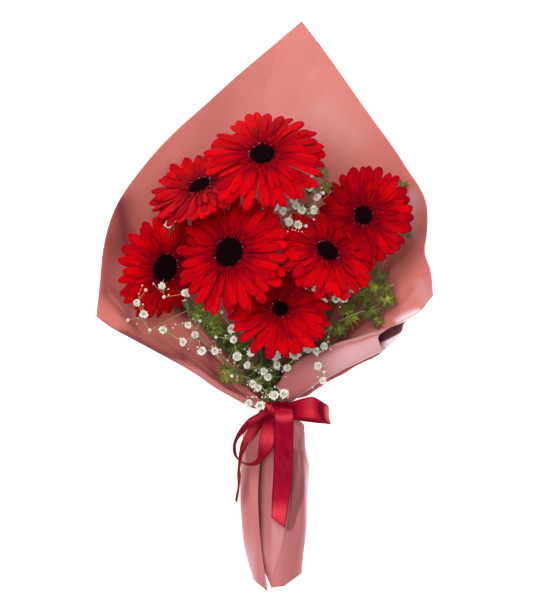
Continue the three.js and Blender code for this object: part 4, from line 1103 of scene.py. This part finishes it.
# Where the roll ends, as a share of its length, at each angle round it. It gapes on its upper side.
ROLL_END = [(-50, 0.8), (-90, 0.87), (-130, 0.9), (-165, 0.95), (-185, 0.9), (-205, 0.8), (-230, 0.715),
            (-260, 0.68), (-300, 0.675), (-345, 0.688), (-380, 0.7)]
COLLAR_FROM, COLLAR_SWEEP = -35.0, 340.0  # degrees round the roll
COLLAR_SQUARENESS = 0.72
collar_curve = smooth_curve([seen(x, y, z) for x, y, z, _, _ in COLLAR], CHORDAL)
collar_size = smooth_curve([(wide, thick, 0) for *_, wide, thick in COLLAR], CHORDAL)


def collar_crease(u, t, a):
    """Creases round the roll, and a shallow one that runs along its upper side."""
    crease = 0.5 * soft_noise(u * 3, t * 5, 21)
    crease = crease + 0.5 * np.sin(u * 24 + 3 * np.sin(t * 9)) * (1 - smooth(t, 0.1, 0.5))
    return crease - 1.1 * hill(np.degrees(a) % 360, 128, 9) * smooth(t, 0.5, 0.62)


def collar_point(u, t):
    def squared(c):
        return np.sign(c) * np.abs(c) ** COLLAR_SQUARENESS

    a = np.radians(COLLAR_FROM - COLLAR_SWEEP * u)
    ahead = collar_curve(np.minimum(t + 1e-3, 1)) - collar_curve(np.maximum(t - 1e-3, 0))
    ahead[..., 2] = 0
    ahead = unit(ahead)
    size = collar_size(t)
    crease = collar_crease(u, t, a)
    lip = 1 + 0.5 * (1 - smooth(u, 0.0, 0.13)) * smooth(t, 0.0, 0.12) * (1 - smooth(t, 0.62, 0.8))
    wide, thick = (size[..., 0] + crease) * lip, (size[..., 1] + 0.6 * crease) * lip
    side = stack(ahead[..., 1], -ahead[..., 0], 0)
    up = np.array([0, 0, 1.0])
    return (collar_curve(t) + side * (wide * squared(np.cos(a)))[..., None]
            + up * (thick * squared(np.sin(a)))[..., None])


def add_collar(shape):
    u, v = np.meshgrid(np.linspace(0, 1, 200), np.linspace(0, 1, 150))
    degrees = COLLAR_SWEEP * u - COLLAR_FROM
    end = np.interp(degrees, [-angle for angle, _ in ROLL_END], [share for _, share in ROLL_END])
    # Painted light and shade: a whitish painted sheen along the roll's low edge and near its end, painted
    # light on most of its outer side, and painted shade near the tie and in the crease along its upper side.
    # Inside, the roll has a dark maroon painted shade, and its lip near the end has a whitish painted sheen.
    low_edge = hill(degrees, 352, 13) + (u < 0.09)
    painted_sheen = np.clip(low_edge * (0.35 + 0.6 * smooth(v, 0.45, 0.95)), 0, 0.95) * smooth(v, 0.05, 0.2)
    painted_sheen = np.maximum(painted_sheen, smooth(v, 0.9, 0.97) * band(degrees, 150, 160, 190, 200))
    painted_sheen = np.maximum(painted_sheen, 0.26 * smooth(v, 0.2, 0.7) * (1 - hill(degrees, 235, 18)))
    shade = 0.15 * (1 - smooth(v, 0.1, 0.6)) + 0.3 * hill(degrees, 232, 9) * smooth(v, 0.55, 0.7)
    deep = smooth(u, 0.1, 0.15) * (1 - 0.3 * smooth(v, 0.955, 1.0) * (1 - smooth(u, 0.4, 0.6)))
    lip = 0.85 * (1 - smooth(u, 0.1, 0.15)) * smooth(v, 0.8, 0.9)
    add_sheet(shape, collar_point(u, v * end), 1, 0, mark=stack(0, painted_sheen, shade), under=stack(deep, lip, 0))


# ---- The wrap and the ribbon as pieces ----
RIBBON_THICKNESS = 0.35


def make_wrap():
    shape = Shape()
    add_film(shape)
    add_collar(shape)
    add_inner_panel(shape)
    add_hem(shape)
    piece = make("wrap_film", shape, [FILM_INNER, FILM_OUTER])


make_wrap()

# ---- Ribbon ----
# Stations of each strip: its place, the direction of its width, and half of its width.
RIGHT_LOOP = [
    ((0, -112, 47), (0, 1, 0.1), 6), ((15, -112, 55), (0.05, 1, 0.15), 7.5),
    ((27, -110.5, 62), (-0.05, 1, 0.2), 10), ((40.5, -109.5, 66.5), (-0.08, 1, 0.25), 12.2),
    ((47, -111.5, 65), (-0.12, 1, 0.2), 12), ((54, -115, 59), (-0.16, 1, 0.1), 11),
    ((58.5, -117.5, 51), (-0.1, 1, 0), 9), ((56, -118.5, 42), (0, 1, 0), 8),
    ((42, -117, 39.5), (-0.05, 1, -0.1), 8.5), ((22, -115, 43), (0, 1, -0.1), 7.6),
    ((1, -113, 44.5), (0, 1, 0), 5)]
LEFT_LOOP = [
    ((-5, -113, 50), (-0.4, 0.8, 0.4), 6), ((-13, -118, 57), (-0.28, 0.42, 0.87), 8.5),
    ((-22, -123, 61), (-0.25, 0.35, 0.9), 9.5), ((-31, -133, 63), (-0.28, 0.15, 0.95), 9.8),
    ((-37, -142, 62), (-0.16, 0.06, 0.98), 9.8), ((-39, -149, 60), (-0.12, 0, 1), 9.8),
    ((-37.5, -158, 58), (-0.08, 0.05, 1), 9.8), ((-31.5, -165, 56.5), (0, 0.12, 1), 9.8),
    ((-23.5, -167, 56), (0.05, 0.15, 1), 9.8), ((-15.5, -164, 56), (-0.1, 0.3, 0.92), 9.8),
    ((-10, -157, 56), (-0.45, 0.3, 0.8), 9.8), ((-6.5, -147, 55), (-0.75, 0.2, 0.6), 9.8),
    ((-4.5, -136, 54), (-0.85, 0.1, 0.5), 9), ((-3, -125, 51), (-0.9, 0, 0.4), 7.5),
    ((-1.5, -116, 47), (-0.9, 0, 0.2), 5)]
MAIN_TAIL = [
    ((8, -103, 46), (1, 0, 0), 7), ((10.5, -107, 58), (1, 0, 0), 9), ((11.5, -114, 62), (1, 0, -0.03), 9.9),
    ((11.5, -128, 55), (1, 0, 0.06), 9.9), ((11.2, -150, 50), (1, 0, 0.1), 9.9),
    ((10.5, -175, 50), (1, 0, 0.05), 9.6), ((8.5, -200, 48.5), (1, 0, 0.1), 9.2),
    ((5.8, -227, 51), (1, -0.75, 0), 8.5)]
SECOND_TAIL = [
    ((-6, -113, 44), (-0.5, 0.7, 0.3), 5), ((-13, -123, 47.5), (-0.55, 0.4, 0.7), 8),
    ((-21, -135, 50), (-0.5, 0.3, 0.8), 9), ((-29, -148, 51), (-0.3, 0.15, 0.93), 9.5),
    ((-33.5, -166, 48), (-0.15, 0, 1), 9.8), ((-34.5, -184, 42), (-0.13, 0, 1), 9.5),
    ((-37, -208, 35), (-0.08, 0.45, 0.9), 8)]
# Each strip's bow across, and its painted highlight and painted shade bands: share of its length, half-width,
# strength, bend.
STRIPS = [
    dict(stations=RIGHT_LOOP, steps=110, bow=1.2, painted_highlights=[(0.28, 0.05, 0.4), (0.53, 0.03, 0.55, 0.03)],
         shades=[(0.1, 0.08, 0.6), (0.43, 0.045, 1.0, 0.035), (0.9, 0.15, 0.7)]),
    dict(stations=LEFT_LOOP, steps=110, bow=1.0, painted_highlights=[(0.83, 0.06, 0.6), (0.12, 0.04, 0.3)],
         shades=[(0.3, 0.12, 0.5), (0.96, 0.05, 0.6)]),
    dict(stations=MAIN_TAIL, steps=90, bow=0.8, painted_highlights=[(0.35, 0.035, 0.85, -0.02), (0.95, 0.05, 0.6)],
         shades=[(0.65, 0.22, 0.45), (0.15, 0.1, 0.5)]),
    dict(stations=SECOND_TAIL, steps=70, bow=0.5, painted_highlights=[(0.4, 0.09, 0.85)],
         shades=[(0.1, 0.08, 0.5), (0.75, 0.2, 0.4)]),
]
KNOT = np.array([-3, -112, 45.5])
KNOT_SIZE, KNOT_TURN = (7.5, 7.8, 6.0), -25.0


def strip_grid(stations, steps, bow, seed):
    path = smooth_curve([place for place, _, _ in stations], CENTRIPETAL)
    widths = smooth_curve([unit(np.array(way, float)) * half for _, way, half in stations], CENTRIPETAL)
    v = np.linspace(0, 1, steps)
    t = np.linspace(-1, 1, 9)
    p, w = path(v), widths(v)
    normal = unit(np.cross(w, np.gradient(p, axis=0)))
    wave = bow * (1 - t[None] ** 2) + 0.5 * soft_noise(v[:, None] * 5 + seed, t[None] * 0.8, 40 + seed)
    return p[:, None] + w[:, None] * t[None, :, None] + normal[:, None] * wave[..., None]


def neck_band_grid():
    """The ribbon round the neck, gathered into creases."""
    a = np.linspace(0, 2 * np.pi, 180)[:, None]
    y = np.linspace(-BAND_WIDTH / 2, BAND_WIDTH / 2, 15)[None]
    r = WAIST_RADIUS + 1.1 + 0.35 * np.sin(y * 1.7 + 1.5 * np.sin(2 * a))
    return stack(TIE[0] + r * np.cos(a), TIE[1] + y, TIE[2] + r * np.sin(a))


def knot_grid():
    """A short strip wound over the middle, puckered at both ends."""
    b = np.linspace(0, 2 * np.pi, 72)[:, None]
    x = np.linspace(-1, 1, 19)[None]
    pucker = 1 + 0.10 * np.sin(9 * x + 2 * np.sin(b)) + 0.06 * np.sin(4 * b + 3 * x)
    hug = np.sqrt(np.clip(1 - 0.55 * x**2, 0, 1)) * pucker
    knot = stack(x, hug * np.cos(b), hug * np.sin(b)) * KNOT_SIZE
    return KNOT + turned(knot, math.radians(KNOT_TURN))


def add_ribbon(shape, grid, painted_highlights=(), shades=()):
    rows, columns = grid.shape[:2]
    along = np.linspace(0, 1, rows)[:, None]
    across = np.linspace(-1, 1, columns)[None]

    def strength(bands):
        total = 0
        for at, half, most, *bend in bands:
            total = total + most * hill(along, at + (bend[0] if bend else 0) * across**2, half)
        return np.clip(total, 0, 1)

    # mark: the selvedge, then painted highlight and painted shade bands.
    mark = stack(smooth(np.abs(across), 0.86, 1.0) + 0 * along, strength(painted_highlights), strength(shades))
    shape.grid(grid, mark, stack(across / 2 + 0.5, along))


def make_ribbon():
    shape = Shape()
    for number, strip in enumerate(STRIPS, 1):
        grid = strip_grid(strip["stations"], strip["steps"], strip["bow"], number)
        add_ribbon(shape, grid, strip["painted_highlights"], strip["shades"])
    add_ribbon(shape, neck_band_grid())
    # The knot gets a painted highlight band and a painted shade band.
    add_ribbon(shape, knot_grid(), [(0.2, 0.06, 0.7)], [(0.4, 0.08, 0.5)])
    piece = make("ribbon_bow", shape, [SATIN])
    thicken(piece, RIBBON_THICKNESS)


make_ribbon()

# ---- Binding ----
BINDING_TURNS, BINDING_CORD = 5, 0.85  # how often it goes round, and the radius of the band


def make_binding():
    """A tan rubber band wound round the stems."""
    shape = Shape()
    a = np.linspace(0, 2 * np.pi * BINDING_TURNS, 400)
    r = BINDING_INNER + BINDING_THICK / 2 + 0.25 * np.sin(3 * a)
    y = np.linspace(-1, 1, len(a)) * (BINDING_WIDTH / 2 - 0.9)
    tube(shape, stack(TIE[0] + r * np.cos(a), TIE[1] + y, TIE[2] + r * np.sin(a)), BINDING_CORD, 8)
    make("stem_binding", shape, [RUBBER])


make_binding()

# ---- Gypsophila ----
THIN_SLOTS = 11  # places of thin stems round the bundle
# slot: the stem's place at the tie. way: its knots past it. top: the height of the florets' plane. florets:
# where each is seen (x, y) and how large it is, the small ones being buds.
SPRAYS = [
    dict(name="upper", slot=9, way=[(14, -40, 17), (18, 26, 32), (14, 70, 66), (13, 80, 102)],
         top=104, florets=[
        (0.5, 100, 9), (2.5, 93, 8), (10.5, 89, 8), (2.5, 79, 8), (16.5, 78, 9), (25.5, 75, 9),
        (21.5, 100, 8), (23.5, 94, 8), (29.5, 90, 9), (41.5, 90, 9), (37.5, 112, 8), (44.5, 103, 8),
        (38.5, 124, 4), (33.5, 74, 4), (50.5, 107, 4), (14.5, 68, 4)]),
    dict(name="left", slot=6, way=[(-36, -76, 34), (-82, -28, 60)],
         top=84, florets=[
        (-103.5, 76, 8), (-110.5, 14, 8), (-86.5, 7, 9), (-135.5, -3, 8), (-128.5, -14, 8), (-126.5, 10, 4),
        (-108.5, 3, 4), (-144.5, -20, 4), (-122.5, -30, 4)]),
    dict(name="lower_left", slot=5, way=[(-26, -80, 42), (-62, -48, 62)],
         top=76, florets=[
        (-109.5, -30, 8), (-77.5, -35, 8), (-89.5, -42, 8), (-70.5, -51, 9), (-57.5, -51, 8),
        (-84.5, -25, 7), (-40.5, -29, 10), (-38.5, -40, 8), (-35.5, -56, 10), (-72.5, -21, 4),
        (-50.5, -12, 4), (-56.5, -37, 4), (-40.5, -76, 4)]),
    dict(name="bottom", slot=3, way=[(-4, -84, 46), (-9, -74, 58)],
         top=70, florets=[
        (-21.5, -52, 9), (-25.5, -65, 8), (2.5, -56, 11), (22.5, -55, 11), (14.5, -68, 8), (4.5, -65, 8),
        (-8.5, -71, 8), (-4.5, -77, 8), (-19.5, -84, 8), (-14.5, -88, 8), (1.5, -95, 10), (11.5, -94, 10),
        (-23.5, -103, 8), (-12.5, -106, 10)]),
    dict(name="right", slot=2, way=[(17, -72, 42), (41, -42, 58), (60, -28, 76)],
         top=84, florets=[
        (43.5, 11, 9), (63.5, 1, 9), (71.5, 1, 8), (81.5, 11, 8), (75.5, 8, 4), (51.5, -1, 8), (48.5, -18, 9),
        (35.5, -49, 9), (43.5, -51, 8), (51.5, -46, 8), (45.5, -66, 8), (50.5, -81, 8), (51.5, -72, 4)]),
]
BUD_UP_TO = 4.5  # the size from which a bud is open
FLORET_RINGS = [(8, -0.15, 0.56), (8, 0.35, 0.5), (7, 0.8, 0.4), (5, 1.15, 0.26)]  # petals, rise, reach
PETAL_STEPS, PETAL_STEP_SHADES = np.array([[0, 0.4, 0.8, 1.0], [0, 0.4, 0.75, 1.0]])[..., None]
BUD_RINGS = [(-0.6, 0.15), (-0.35, 0.4), (0.0, 0.55), (0.3, 0.42), (0.55, 0.12)]  # height, radius
BUD_SHADES = np.array([0, 0.05, 0.5, 0.9, 1])[:, None]
STALK_REACH, LONG_STALK_SAG, STALK_SAG = 45, 38, 1.5  # a stalk past the reach hangs further down
LOWEST_SIDE_BUD = -98  # the side buds stay above the ribbon


def thin_stem_line(branch, per_knot=8):
    at = slot_at(THIN_RING, 8 + 360 * branch["slot"] / THIN_SLOTS)
    return way_through([*through_tie(at), *[np.array(w, float) for w in branch["way"]]], per_knot)


def tree_of(node):
    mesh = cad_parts[node].data
    return BVHTree.FromPolygons([v.co for v in mesh.vertices], [tuple(p.vertices) for p in mesh.polygons])


def floret_petal(size, length, rise):
    """A small notched petal along +X."""
    s, t = PETAL_STEPS, np.array([-1, 0, 1])
    half = size * 0.15 * (0.25 + 1.2 * np.sin(np.minimum(1, s * 1.1) * 2.1))
    notch = 0.16 * length * (s == 1.0) * (t == 0)
    up = length * s * math.sin(rise) + 0.02 * size
    return stack(length * s * math.cos(rise) - notch, half * t, up - 0.25 * half * t * t * (1 - s))


def add_floret(shape, at, size, rng):
    """A ruffled double floret: rings of small petals round a greenish heart."""
    tilt = np.array(Quaternion((rng.normal(), rng.normal(), 0.01), rng.uniform(0, 0.35)).to_matrix())
    for ring, (count, rise, reach) in enumerate(FLORET_RINGS):
        for i in range(count):
            angle = 2 * math.pi * (i + 0.5 * ring + 0.4 * rng.random()) / count
            length = size * reach * rng.uniform(0.78, 1.15)
            petal = floret_petal(size, length, rise + rng.normal(0, 0.2))
            petal = petal + rng.normal(0, 0.026 * size, petal.shape)
            share = PETAL_STEP_SHADES * (1 - 0.12 * ring) + np.zeros(3)
            shape.grid(at + turned(petal, angle) @ tilt.T, stack(share, 0, rng.random()))


def add_bud(shape, at, size, rng):
    """A closed bud in its green cup."""
    ball = revolved([(size * r, size * h) for h, r in BUD_RINGS], around(9))
    shape.grid(at + ball, stack(BUD_SHADES + np.zeros(9), 0, rng.random()), closed=True)


def floret_places(spray, tree):
    """Where the spray's florets lie, on the top of its solid, and how large they are."""
    places = []
    for x, y, size in spray["florets"]:
        at = seen(x, y, spray["top"])
        size *= 0.92
        hit = tree.ray_cast(Vector(place([at[0], at[1], 400])), Vector((0, 0, -1)))[0]
        if hit is not None:
            places.append((np.array([at[0], at[1], hit.z / MM - ORIGIN[2] - 0.3 * size]), size))
    return places


def add_side_buds(shape, stalk, at, count, rng):
    """Small buds on thread-like stalks beside the one that is at the stalk's end."""
    for _ in range(count):
        tip = at + rng.normal(0, 1, 3) * [5.5, 5.5, 1.5] - [0, 0, 1.0]
        tip[1] = max(tip[1], LOWEST_SIDE_BUD)
        root = stalk[rng.integers(2, 7)]
        bend = lerp(root, tip, 0.5) + rng.normal(0, 0.6, 3)
        thread = line_through([root, bend, tip], 6)
        tube(shape, thread, np.linspace(0.2, 0.14, 6), 5, (0, 0, rng.random()), kind=1)
        add_bud(shape, tip, rng.uniform(0.9, 1.9), rng)


def make_spray(spray, index):
    """Each floret's stalk starts at the nearest place of the branches that are there."""
    rng = np.random.default_rng(500 + index)
    node = f"gypsophila_{spray['name']}"
    shape = Shape()
    stem = thin_stem_line(spray)
    tube(shape, stem, np.linspace(1.2, 0.4, len(stem)), 7, (0, 0, 0.4), kind=1)
    fork = np.array(spray["way"][-1], float)
    places = sorted(floret_places(spray, tree_of(node)), key=lambda p: np.linalg.norm(p[0] - fork))
    joints = [fork]
    for at, size in places:
        under = at - [0, 0, 0.12 * size]
        start = min(joints, key=lambda j: np.linalg.norm(j - under))
        sag = LONG_STALK_SAG if np.linalg.norm(start - under) > STALK_REACH else STALK_SAG
        middle = lerp(start, under, 0.5) - [0, 0, sag] + rng.normal(0, 0.8, 3)
        stalk = line_through([start, middle, under], 9)
        tube(shape, stalk, np.linspace(0.32, 0.22, 9), 6, (0, 0, rng.random()), kind=1)
        joints += [stalk[4], under]
        if size > BUD_UP_TO:
            add_floret(shape, at, size, rng)
            add_side_buds(shape, stalk, at, 4, rng)
        else:
            add_bud(shape, at, size * 0.9, rng)
            add_side_buds(shape, stalk, at, 1, rng)
    make(node, shape, [FLORET, STALK_GREEN])


for number, spray in enumerate(SPRAYS):
    make_spray(spray, number)

# ---- Asparagus fern ----
# puffs: where each tuft is seen (x, y), its height, its radius, and how light it is, which paints light and
# shade on the tuft as well as giving its own tone.
FRONDS = [
    dict(name="lower_left", slot=7, way=[(-10, -80, 15.5), (-28, -56, 28), (-52, -34, 56), (-72, -14, 70)],
         puffs=[
        (-70, -13, 74, 14, 1.0), (-60, -20, 74, 13, 0.95), (-56, -29, 72, 12, 0.8), (-74, -6, 66, 9, 0.85),
        (-45, -34, 62, 12, 0.5), (-34, -50, 50, 14, 0.4), (-24, -40, 50, 12, 0.32), (-28, -60, 52, 10, 0.4)]),
    dict(name="small", slot=4, way=[(-12, -88, 44), (-28, -78, 54), (-50, -74, 58)],
         puffs=[
        (-45, -74, 62, 11, 0.75), (-34, -77, 60, 9, 0.6), (-14, -64, 58, 13, 0.3), (-3, -74, 56, 11, 0.32),
        (-14, -82, 56, 10, 0.4), (4, -62, 58, 10, 0.3)]),
    dict(name="right_low", slot=1, way=[(34, -56, 42), (64, -24, 58), (104, -6, 72)],
         puffs=[
        (68, -32, 66, 11, 0.5), (78, -18, 68, 14, 0.8), (98, -13, 74, 11, 0.45), (104, -22, 70, 8, 0.4),
        (116, 2, 74, 11, 0.7), (42, -36, 56, 10, 0.25)]),
    dict(name="right_high", slot=0, way=[(54, -52, 36), (92, -10, 52), (122, 16, 68)],
         puffs=[
        (98, 13, 80, 9, 0.95), (90, 4, 70, 10, 0.6), (106, 26, 70, 8, 0.12), (110, 12, 70, 9, 0.6),
        (76, -6, 62, 11, 0.35)]),
    dict(name="behind_right", slot=10, way=[(46, -66, 27), (100, 8, 42), (124, 70, 48), (131, 116, 68)],
         puffs=[
        (129, 114, 66, 6, 0.4), (134, 80, 62, 4.5, 0.3), (135, 66, 60, 4.5, 0.35)]),
    dict(name="upper", slot=8, way=[(10, -30, 8), (30, 60, 34), (50, 122, 82)],
         puffs=[
        (48, 128, 80, 7, 0.45), (55, 111, 84, 6, 0.5), (38, 112, 76, 7, 0.25), (28, 92, 70, 7, 0.2),
        (17, 63, 74, 9, 0.8), (17, 41, 70, 5, 0.6), (10, 17, 70, 9, 0.6)]),
]
NEEDLES = 19  # in each fan
NEEDLE_HALF, LONGEST_NEEDLE = 0.3, 13.5


def add_needle(shape, root, tip, mark, bow):
    """A bowed three-sided needle with a point at its end."""
    along = unit(tip - root)
    side = unit(np.cross(along, [0.2, 0.3, 1.0])) * NEEDLE_HALF
    up = unit(np.cross(side, along)) * NEEDLE_HALF
    ring = [root + side, root - 0.5 * side + 0.87 * up, root - 0.5 * side - 0.87 * up]
    middle = lerp(root, tip, 0.55) + bow
    shape.add([*ring, middle + side, middle - side, tip],
              [(0, 1, 4, 3), (1, 2, 4), (2, 0, 3, 4), (3, 4, 5), (4, 3, 5)], mark)


def add_fan(shape, heart, away, radius, tone, rng):
    """Long thin needles on a thread-like sprig."""
    hub = heart + away * radius * rng.uniform(0.2, 0.5)
    sprig = smooth_curve([heart, lerp(heart, hub, 0.5) + rng.normal(0, 0.1 * radius, 3), hub], CENTRIPETAL)
    tube(shape, sprig(np.linspace(0, 1, 6)), np.linspace(0.22, 0.12, 6), 4, (0, 0, 0.4), kind=1)
    # The tuft's tone, which holds painted light and shade as well as its own colour, sets how light the
    # needles are.
    light = np.clip(tone + rng.normal(0, 0.2), 0, 1)
    ahead = unit(hub - heart)
    for _ in range(NEEDLES):
        way = unit(ahead * 0.75 + rng.normal(0, 1, 3) * [0.7, 0.7, 0.35])
        foot = sprig(np.array(rng.uniform(0.3, 1.0))) + rng.normal(0, 0.2, 3)
        length = rng.uniform(0.55, 1.0) * min(LONGEST_NEEDLE, 4.5 + 0.8 * radius)
        shade = np.clip(light + rng.normal(0, 0.2), 0, 1)
        add_needle(shape, foot, foot + way * length, (0, 0, shade), rng.normal(0, 0.07 * length, 3))


def add_puff(shape, line, centre, radius, tone, rng):
    """An open feathery tuft of fans, on a twig from the frond's stem."""
    past_tie = line[20:]
    start = past_tie[np.argmin(np.linalg.norm(past_tie - centre, axis=1))]
    heart = centre - [0, 0, 0.35 * radius] + 0.25 * radius * unit(start - centre)
    bend = lerp(start, heart, 0.5) - [0, 0, 1.5]
    tube(shape, line_through([start, bend, heart], 9), np.linspace(0.5, 0.3, 9), 5, (0, 0, 0.4), kind=1)
    fans = int(2 + 0.42 * radius)
    for k in range(fans):
        angle = 2 * math.pi * (k + rng.uniform(0, 0.8)) / fans
        away = np.array([math.cos(angle), math.sin(angle), rng.uniform(0.0, 0.6)])
        add_fan(shape, heart, away, radius, tone, rng)


def make_frond(frond, index):
    rng = np.random.default_rng(700 + index)
    line = thin_stem_line(frond, 10)
    shape = Shape()
    tube(shape, line, np.linspace(1.25, 0.6, len(line)), 8, (0, 0, 0.5), kind=1)
    for x, y, z, radius, tone in frond["puffs"]:
        add_puff(shape, line, seen(x, y, z), radius, tone, rng)
    make(f"fern_{frond['name']}", shape, [FERN_LIGHT, STALK_GREEN])


for number, frond in enumerate(FRONDS):
    make_frond(frond, number)

# ---- Floor and light (metres) ----
FLOOR_HALF, FLOOR_DROP = 4.0, 0.0002
SUBJECT = (0, 0, 0.05)
# Place, size and power of each soft light.
SOFT_LIGHTS = dict(key=((-0.7, 0.95, 2.15), 2.2, 49), fill=((0.9, -0.8, 2.2), 2.0, 16))
SKY_STRENGTH = 0.5


def make_floor():
    mesh = bpy.data.meshes.new("floor")
    sides = [(-1, -1), (1, -1), (1, 1), (-1, 1)]
    mesh.from_pydata([(x * FLOOR_HALF, y * FLOOR_HALF, -FLOOR_DROP) for x, y in sides], [], [(0, 1, 2, 3)])
    floor = bpy.data.objects.new("floor", mesh)
    bpy.context.collection.objects.link(floor)
    p = Paint("floor_white", Roughness=0.9, Specular_IOR_Level=0.05, Base_Color=(0.8, 0.8, 0.8))
    p.set(p.shader, Emission_Color=(1, 1, 1), Emission_Strength=0.7)
    mesh.materials.append(p.material)


def soft_light(name, at, size, power):
    data = bpy.data.lights.new(name, "AREA")
    data.shape = "DISK"
    data.size = size
    data.energy = power
    light = bpy.data.objects.new(name, data)
    light.location = at
    light.rotation_euler = (Vector(SUBJECT) - Vector(at)).to_track_quat("-Z", "Y").to_euler()
    bpy.context.collection.objects.link(light)


def make_sky():
    world = bpy.data.worlds.new("studio")
    world.use_nodes = True
    background = world.node_tree.nodes["Background"]
    background.inputs["Color"].default_value = (1, 1, 1, 1)
    background.inputs["Strength"].default_value = SKY_STRENGTH
    bpy.context.scene.world = world


make_floor()
for name, settings in SOFT_LIGHTS.items():
    soft_light(name, *settings)
make_sky()
bpy.context.scene.view_settings.view_transform = "Standard"
